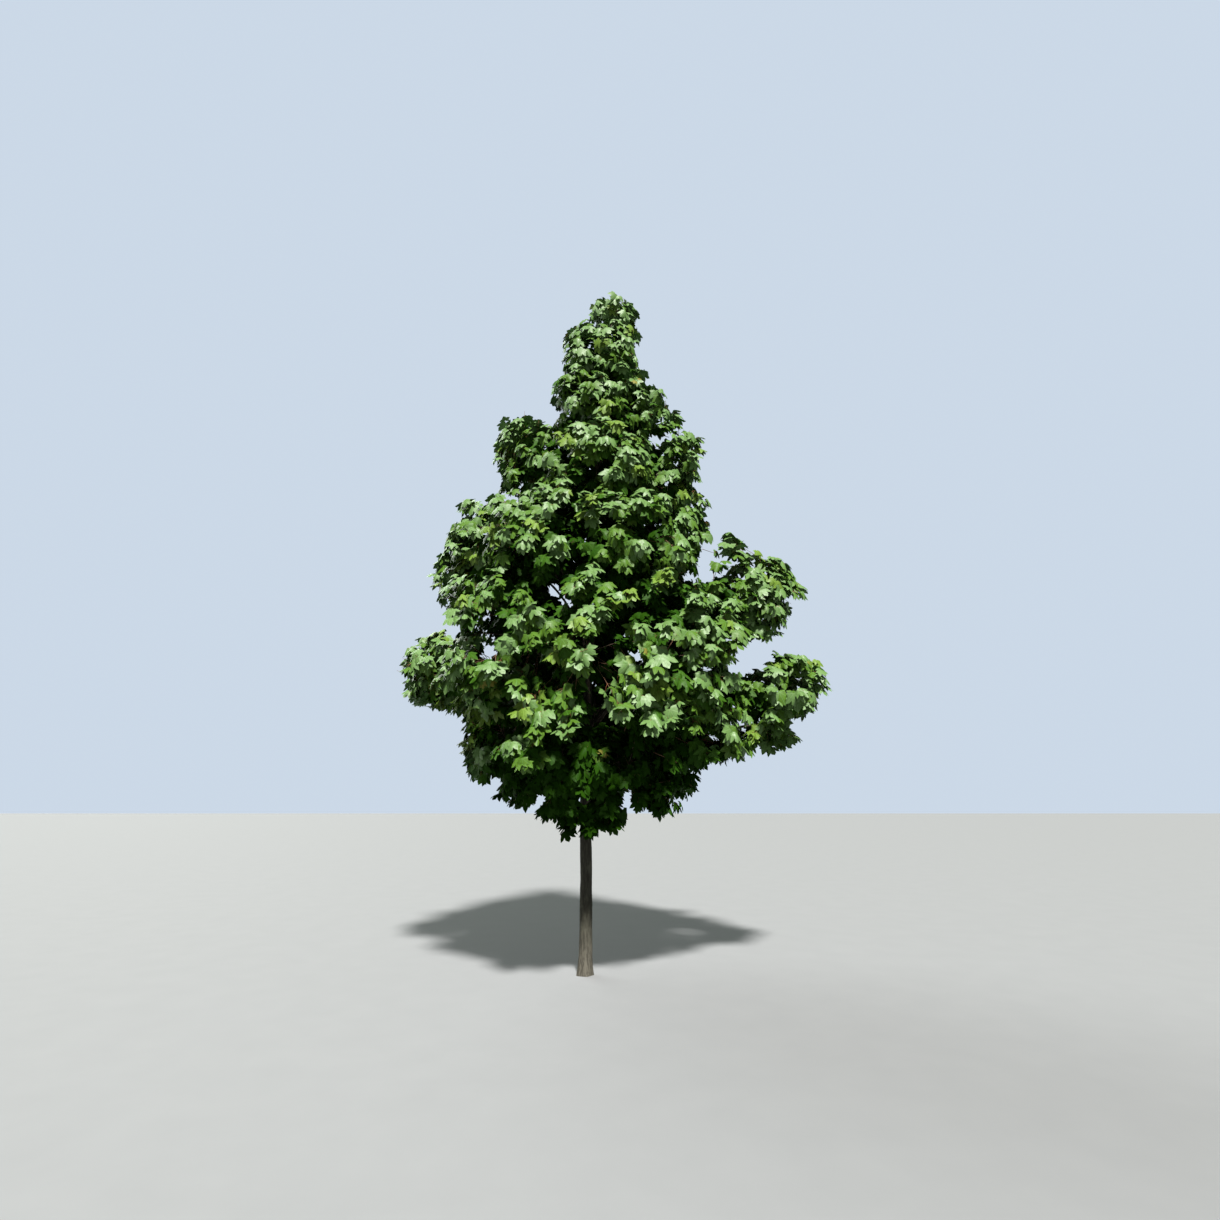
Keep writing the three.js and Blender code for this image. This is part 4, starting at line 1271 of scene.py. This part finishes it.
# Within a spray the leaves nearest its foot are often one kind darker, as painted shade from the
# leaves beyond them, and on a few lit shoots the last small pair is still bronze.
leaf_kind = spray_kind[row_shoot]
leaf_rank = leaves[:, COLUMNS["rank"]]
chance = rng.uniform(0, 1, len(leaves))
painted_shade_steps = ((leaf_rank > 0.3) & (chance < 0.6)) * 1 + ((leaf_rank > 0.5) & (chance < 0.4))
leaf_kind = np.minimum(leaf_kind + painted_shade_steps, len(LEAF_KINDS) - 1)
bronze_spray = (stray_rank < BRONZE_RANK) & (rng.uniform(0, 1, len(rank)) < BRONZE_SHARE)
bronze_leaf = bronze_spray[row_shoot] & (leaf_rank == 0)
leaf_kind[bronze_leaf] = 0
leaves[bronze_leaf, COLUMNS["size"]] *= BRONZE_SIZE

blade_points, blade_faces = whole_blade()


def blades(rows, rng):
    """Points of every blade, bent down along its length and folded across it."""
    count = len(rows)
    size = rows[:, COLUMNS["size"]][:, None]
    across, along, up, _ = blade_points.T
    wide = rng.uniform(0.92, 1.12, (count, 1))
    bend = rng.uniform(0.15, 0.90, (count, 1))
    fold = rng.uniform(0.10, 0.72, (count, 1))
    lean = rng.uniform(-0.10, 0.10, (count, 1))
    forth = np.sin(bend * along) / bend
    drop = (np.cos(bend * along) - 1) / bend
    x = across * wide * np.cos(fold) + lean * along**2
    z = up + drop - np.abs(across) * np.sin(fold) - 0.10 * across**2
    down, face = rows[:, None, COLUMNS["down"]], rows[:, None, COLUMNS["face"]]
    side = np.cross(down, face)
    flat = (x * size)[..., None] * side + (forth * size)[..., None] * down
    return rows[:, None, COLUMNS["root"]] + flat + (z * size)[..., None] * face


leaf_group, leaf_in, leaf_out = new_group(
    "leaf_surface",
    [
        ("Place", "NodeSocketVector", None),
        ("Vein", "NodeSocketFloat", 0.0),
        ("Blade Color", "NodeSocketColor", None),
        ("Vein Color", "NodeSocketColor", None),
    ],
    [
        ("Color", "NodeSocketColor"),
        ("Roughness", "NodeSocketFloat"),
        ("Height", "NodeSocketFloat"),
    ],
)
mottle = noise(leaf_group, leaf_in.outputs["Place"], 7.0, 4, 0.6)
darker = leaf_group.nodes.new("ShaderNodeHueSaturation")
darker.inputs["Value"].default_value = 0.72
wire(leaf_group, (leaf_in.outputs["Blade Color"], darker.inputs["Color"]))
skin = blended(
    leaf_group, band(leaf_group, mottle, 0.42, 0.68), leaf_in.outputs["Blade Color"],
    darker.outputs["Color"],
)
ribs = band(leaf_group, leaf_in.outputs["Vein"], 0.86, 0.99)
skin = blended(
    leaf_group, sums(leaf_group, "MULTIPLY", ribs, 0.7), skin, leaf_in.outputs["Vein Color"]
)
wire(
    leaf_group,
    (skin, leaf_out.inputs["Color"]),
    (band(leaf_group, mottle, 0.3, 0.7, 0.46, 0.60), leaf_out.inputs["Roughness"]),
    (sums(leaf_group, "SUBTRACT", mottle, ribs), leaf_out.inputs["Height"]),
)


def leaf_material(name, gloss, upper, under, veins):
    material, tree, shader = new_material(name)
    shader.inputs["Specular IOR Level"].default_value = gloss
    place = tree.nodes.new("ShaderNodeUVMap")
    place.uv_map = BLADE_MAP
    vein = tree.nodes.new("ShaderNodeAttribute")
    vein.attribute_name = "vein"
    surface = tree.nodes.new("ShaderNodeGroup")
    surface.node_tree = leaf_group
    surface.inputs["Blade Color"].default_value = (*upper, 1)
    surface.inputs["Vein Color"].default_value = (*veins, 1)
    behind = tree.nodes.new("ShaderNodeNewGeometry").outputs["Backfacing"]
    wire(
        tree,
        (place.outputs["UV"], surface.inputs["Place"]),
        (vein.outputs["Fac"], surface.inputs["Vein"]),
        (blended(tree, behind, surface.outputs["Color"], under), shader.inputs["Base Color"]),
        (surface.outputs["Roughness"], shader.inputs["Roughness"]),
        (bumped(tree, surface.outputs["Height"], 0.25), shader.inputs["Normal"]),
    )
    return material


BLADE_MAP = "OFBake"
blade_uv = blade_points[:, :2] * 0.62 + [0.5, 0.20]
for number, (kind, _, gloss, upper, under, veins) in enumerate(LEAF_KINDS):
    rows = leaves[leaf_kind == number]
    points = blades(rows, rng)
    step = np.arange(len(rows))[:, None, None] * len(blade_points)
    faces = (blade_faces[None] + step).reshape(-1, 3)
    piece = joined_mesh("leaves_" + kind, points.reshape(-1, 3), [faces])
    vein = piece.data.attributes.new("vein", "FLOAT", "POINT")
    vein.data.foreach_set("value", np.tile(blade_points[:, 3], len(rows)).astype(np.float32))
    uv_map = piece.data.uv_layers.new(name=BLADE_MAP)
    uv_map.data.foreach_set("uv", np.tile(blade_uv[blade_faces.ravel()], (len(rows), 1)).ravel())
    foliage_piece(piece, leaf_material("leaf_" + kind, gloss, upper, under, veins))


def stalk_curves(rows):
    node, root = rows[:, COLUMNS["node"]], rows[:, COLUMNS["root"]]
    into = root + rows[:, COLUMNS["down"]] * 0.012
    bend = node * 0.45 + root * 0.55 + [0, 0, 0.010]
    return np.stack([node, bend, into], axis=1)


# Stalks by the kinds of leaf that they bear: name, numbers of those kinds, and two colours.
STALK_KINDS = [
    ("red", [0, 1, 2], (0.25, 0.055, 0.028), (0.33, 0.12, 0.05)),
    ("brown", [3, 4], (0.17, 0.070, 0.028), (0.24, 0.13, 0.05)),
    ("green", [5, 6], (0.10, 0.080, 0.028), (0.15, 0.14, 0.05)),
]
for kind, numbers, body, pale in STALK_KINDS:
    rows = leaves[np.isin(leaf_kind, numbers)]
    made = tubes(stalk_curves(rows), STALK_RADIUS * 1.2, STALK_RADIUS, 2, 3)
    stalks = joined_mesh("leaf_stalks_" + kind, *made)
    foliage_piece(
        stalks, twig_material("leaf_stalk_" + kind, body, pale, [c * 0.5 for c in body])
    )

# ---- The floor, the lights and the camera ---------------------------------------------------------
# A plain pale floor, a sun high in front, a weaker and much softer one from behind on the left,
# and a dim, slightly green light from all round, with an even pale backdrop for the eye. The
# camera stands where a person would, looking up.

bpy.ops.object.select_all(action="DESELECT")
bpy.ops.mesh.primitive_plane_add(size=160, location=(0, 0, 0))
floor = bpy.context.object
floor.name = "floor"
floor_material, floor_tree, floor_shader = new_material("pale_floor")
floor_place = floor_tree.nodes.new("ShaderNodeTexCoord").outputs["Object"]
floor_colour = blended(
    floor_tree, noise(floor_tree, floor_place, 3.0), (0.175, 0.180, 0.190), (0.190, 0.195, 0.205)
)
wire(floor_tree, (floor_colour, floor_shader.inputs["Base Color"]))
floor_shader.inputs["Roughness"].default_value = 0.9
floor.data.materials.append(floor_material)


def soft_lamp(name, from_place, strength, spread, colour):
    lamp = bpy.data.lights.new(name, "SUN")
    lamp.energy = strength
    lamp.angle = math.radians(spread)
    lamp.color = colour
    obj = bpy.data.objects.new(name, lamp)
    bpy.context.scene.collection.objects.link(obj)
    obj.location = from_place
    obj.rotation_euler = (-Vector(from_place)).to_track_quat("-Z", "Y").to_euler()


soft_lamp("key_lamp", (1.3, -7.2, 8.8), 10.5, 6, (1.0, 0.98, 0.92))
soft_lamp("back_lamp", (-7.0, 8.0, 7.5), 2.4, 40, (0.96, 1.0, 0.96))
surroundings = bpy.data.worlds.new("surroundings")
bpy.context.scene.world = surroundings
surroundings.use_nodes = True
studio = surroundings.node_tree
backdrop = studio.nodes["Background"]
backdrop.inputs["Color"].default_value = (0.60, 0.69, 0.80, 1)
dim_air = studio.nodes.new("ShaderNodeBackground")
dim_air.inputs["Color"].default_value = (0.72, 0.97, 0.74, 1)
dim_air.inputs["Strength"].default_value = 0.16
seen = studio.nodes.new("ShaderNodeMixShader")
wire(
    studio,
    (studio.nodes.new("ShaderNodeLightPath").outputs["Is Camera Ray"], seen.inputs["Fac"]),
    (dim_air.outputs[0], seen.inputs[1]),
    (backdrop.outputs[0], seen.inputs[2]),
    (seen.outputs[0], studio.nodes["World Output"].inputs["Surface"]),
)

LENS = 20.07
SENSOR_WIDTH = 36
LOOK_UP = math.radians(15.6)
bpy.context.scene.view_settings.view_transform = "Standard"
camera = bpy.data.objects.new("camera", bpy.data.cameras.new("camera"))
bpy.context.scene.collection.objects.link(camera)
camera.data.lens = LENS
camera.data.sensor_width = SENSOR_WIDTH
camera.location = VIEWER
camera.rotation_euler = (math.pi / 2 + LOOK_UP, 0, 0)
bpy.context.scene.camera = camera
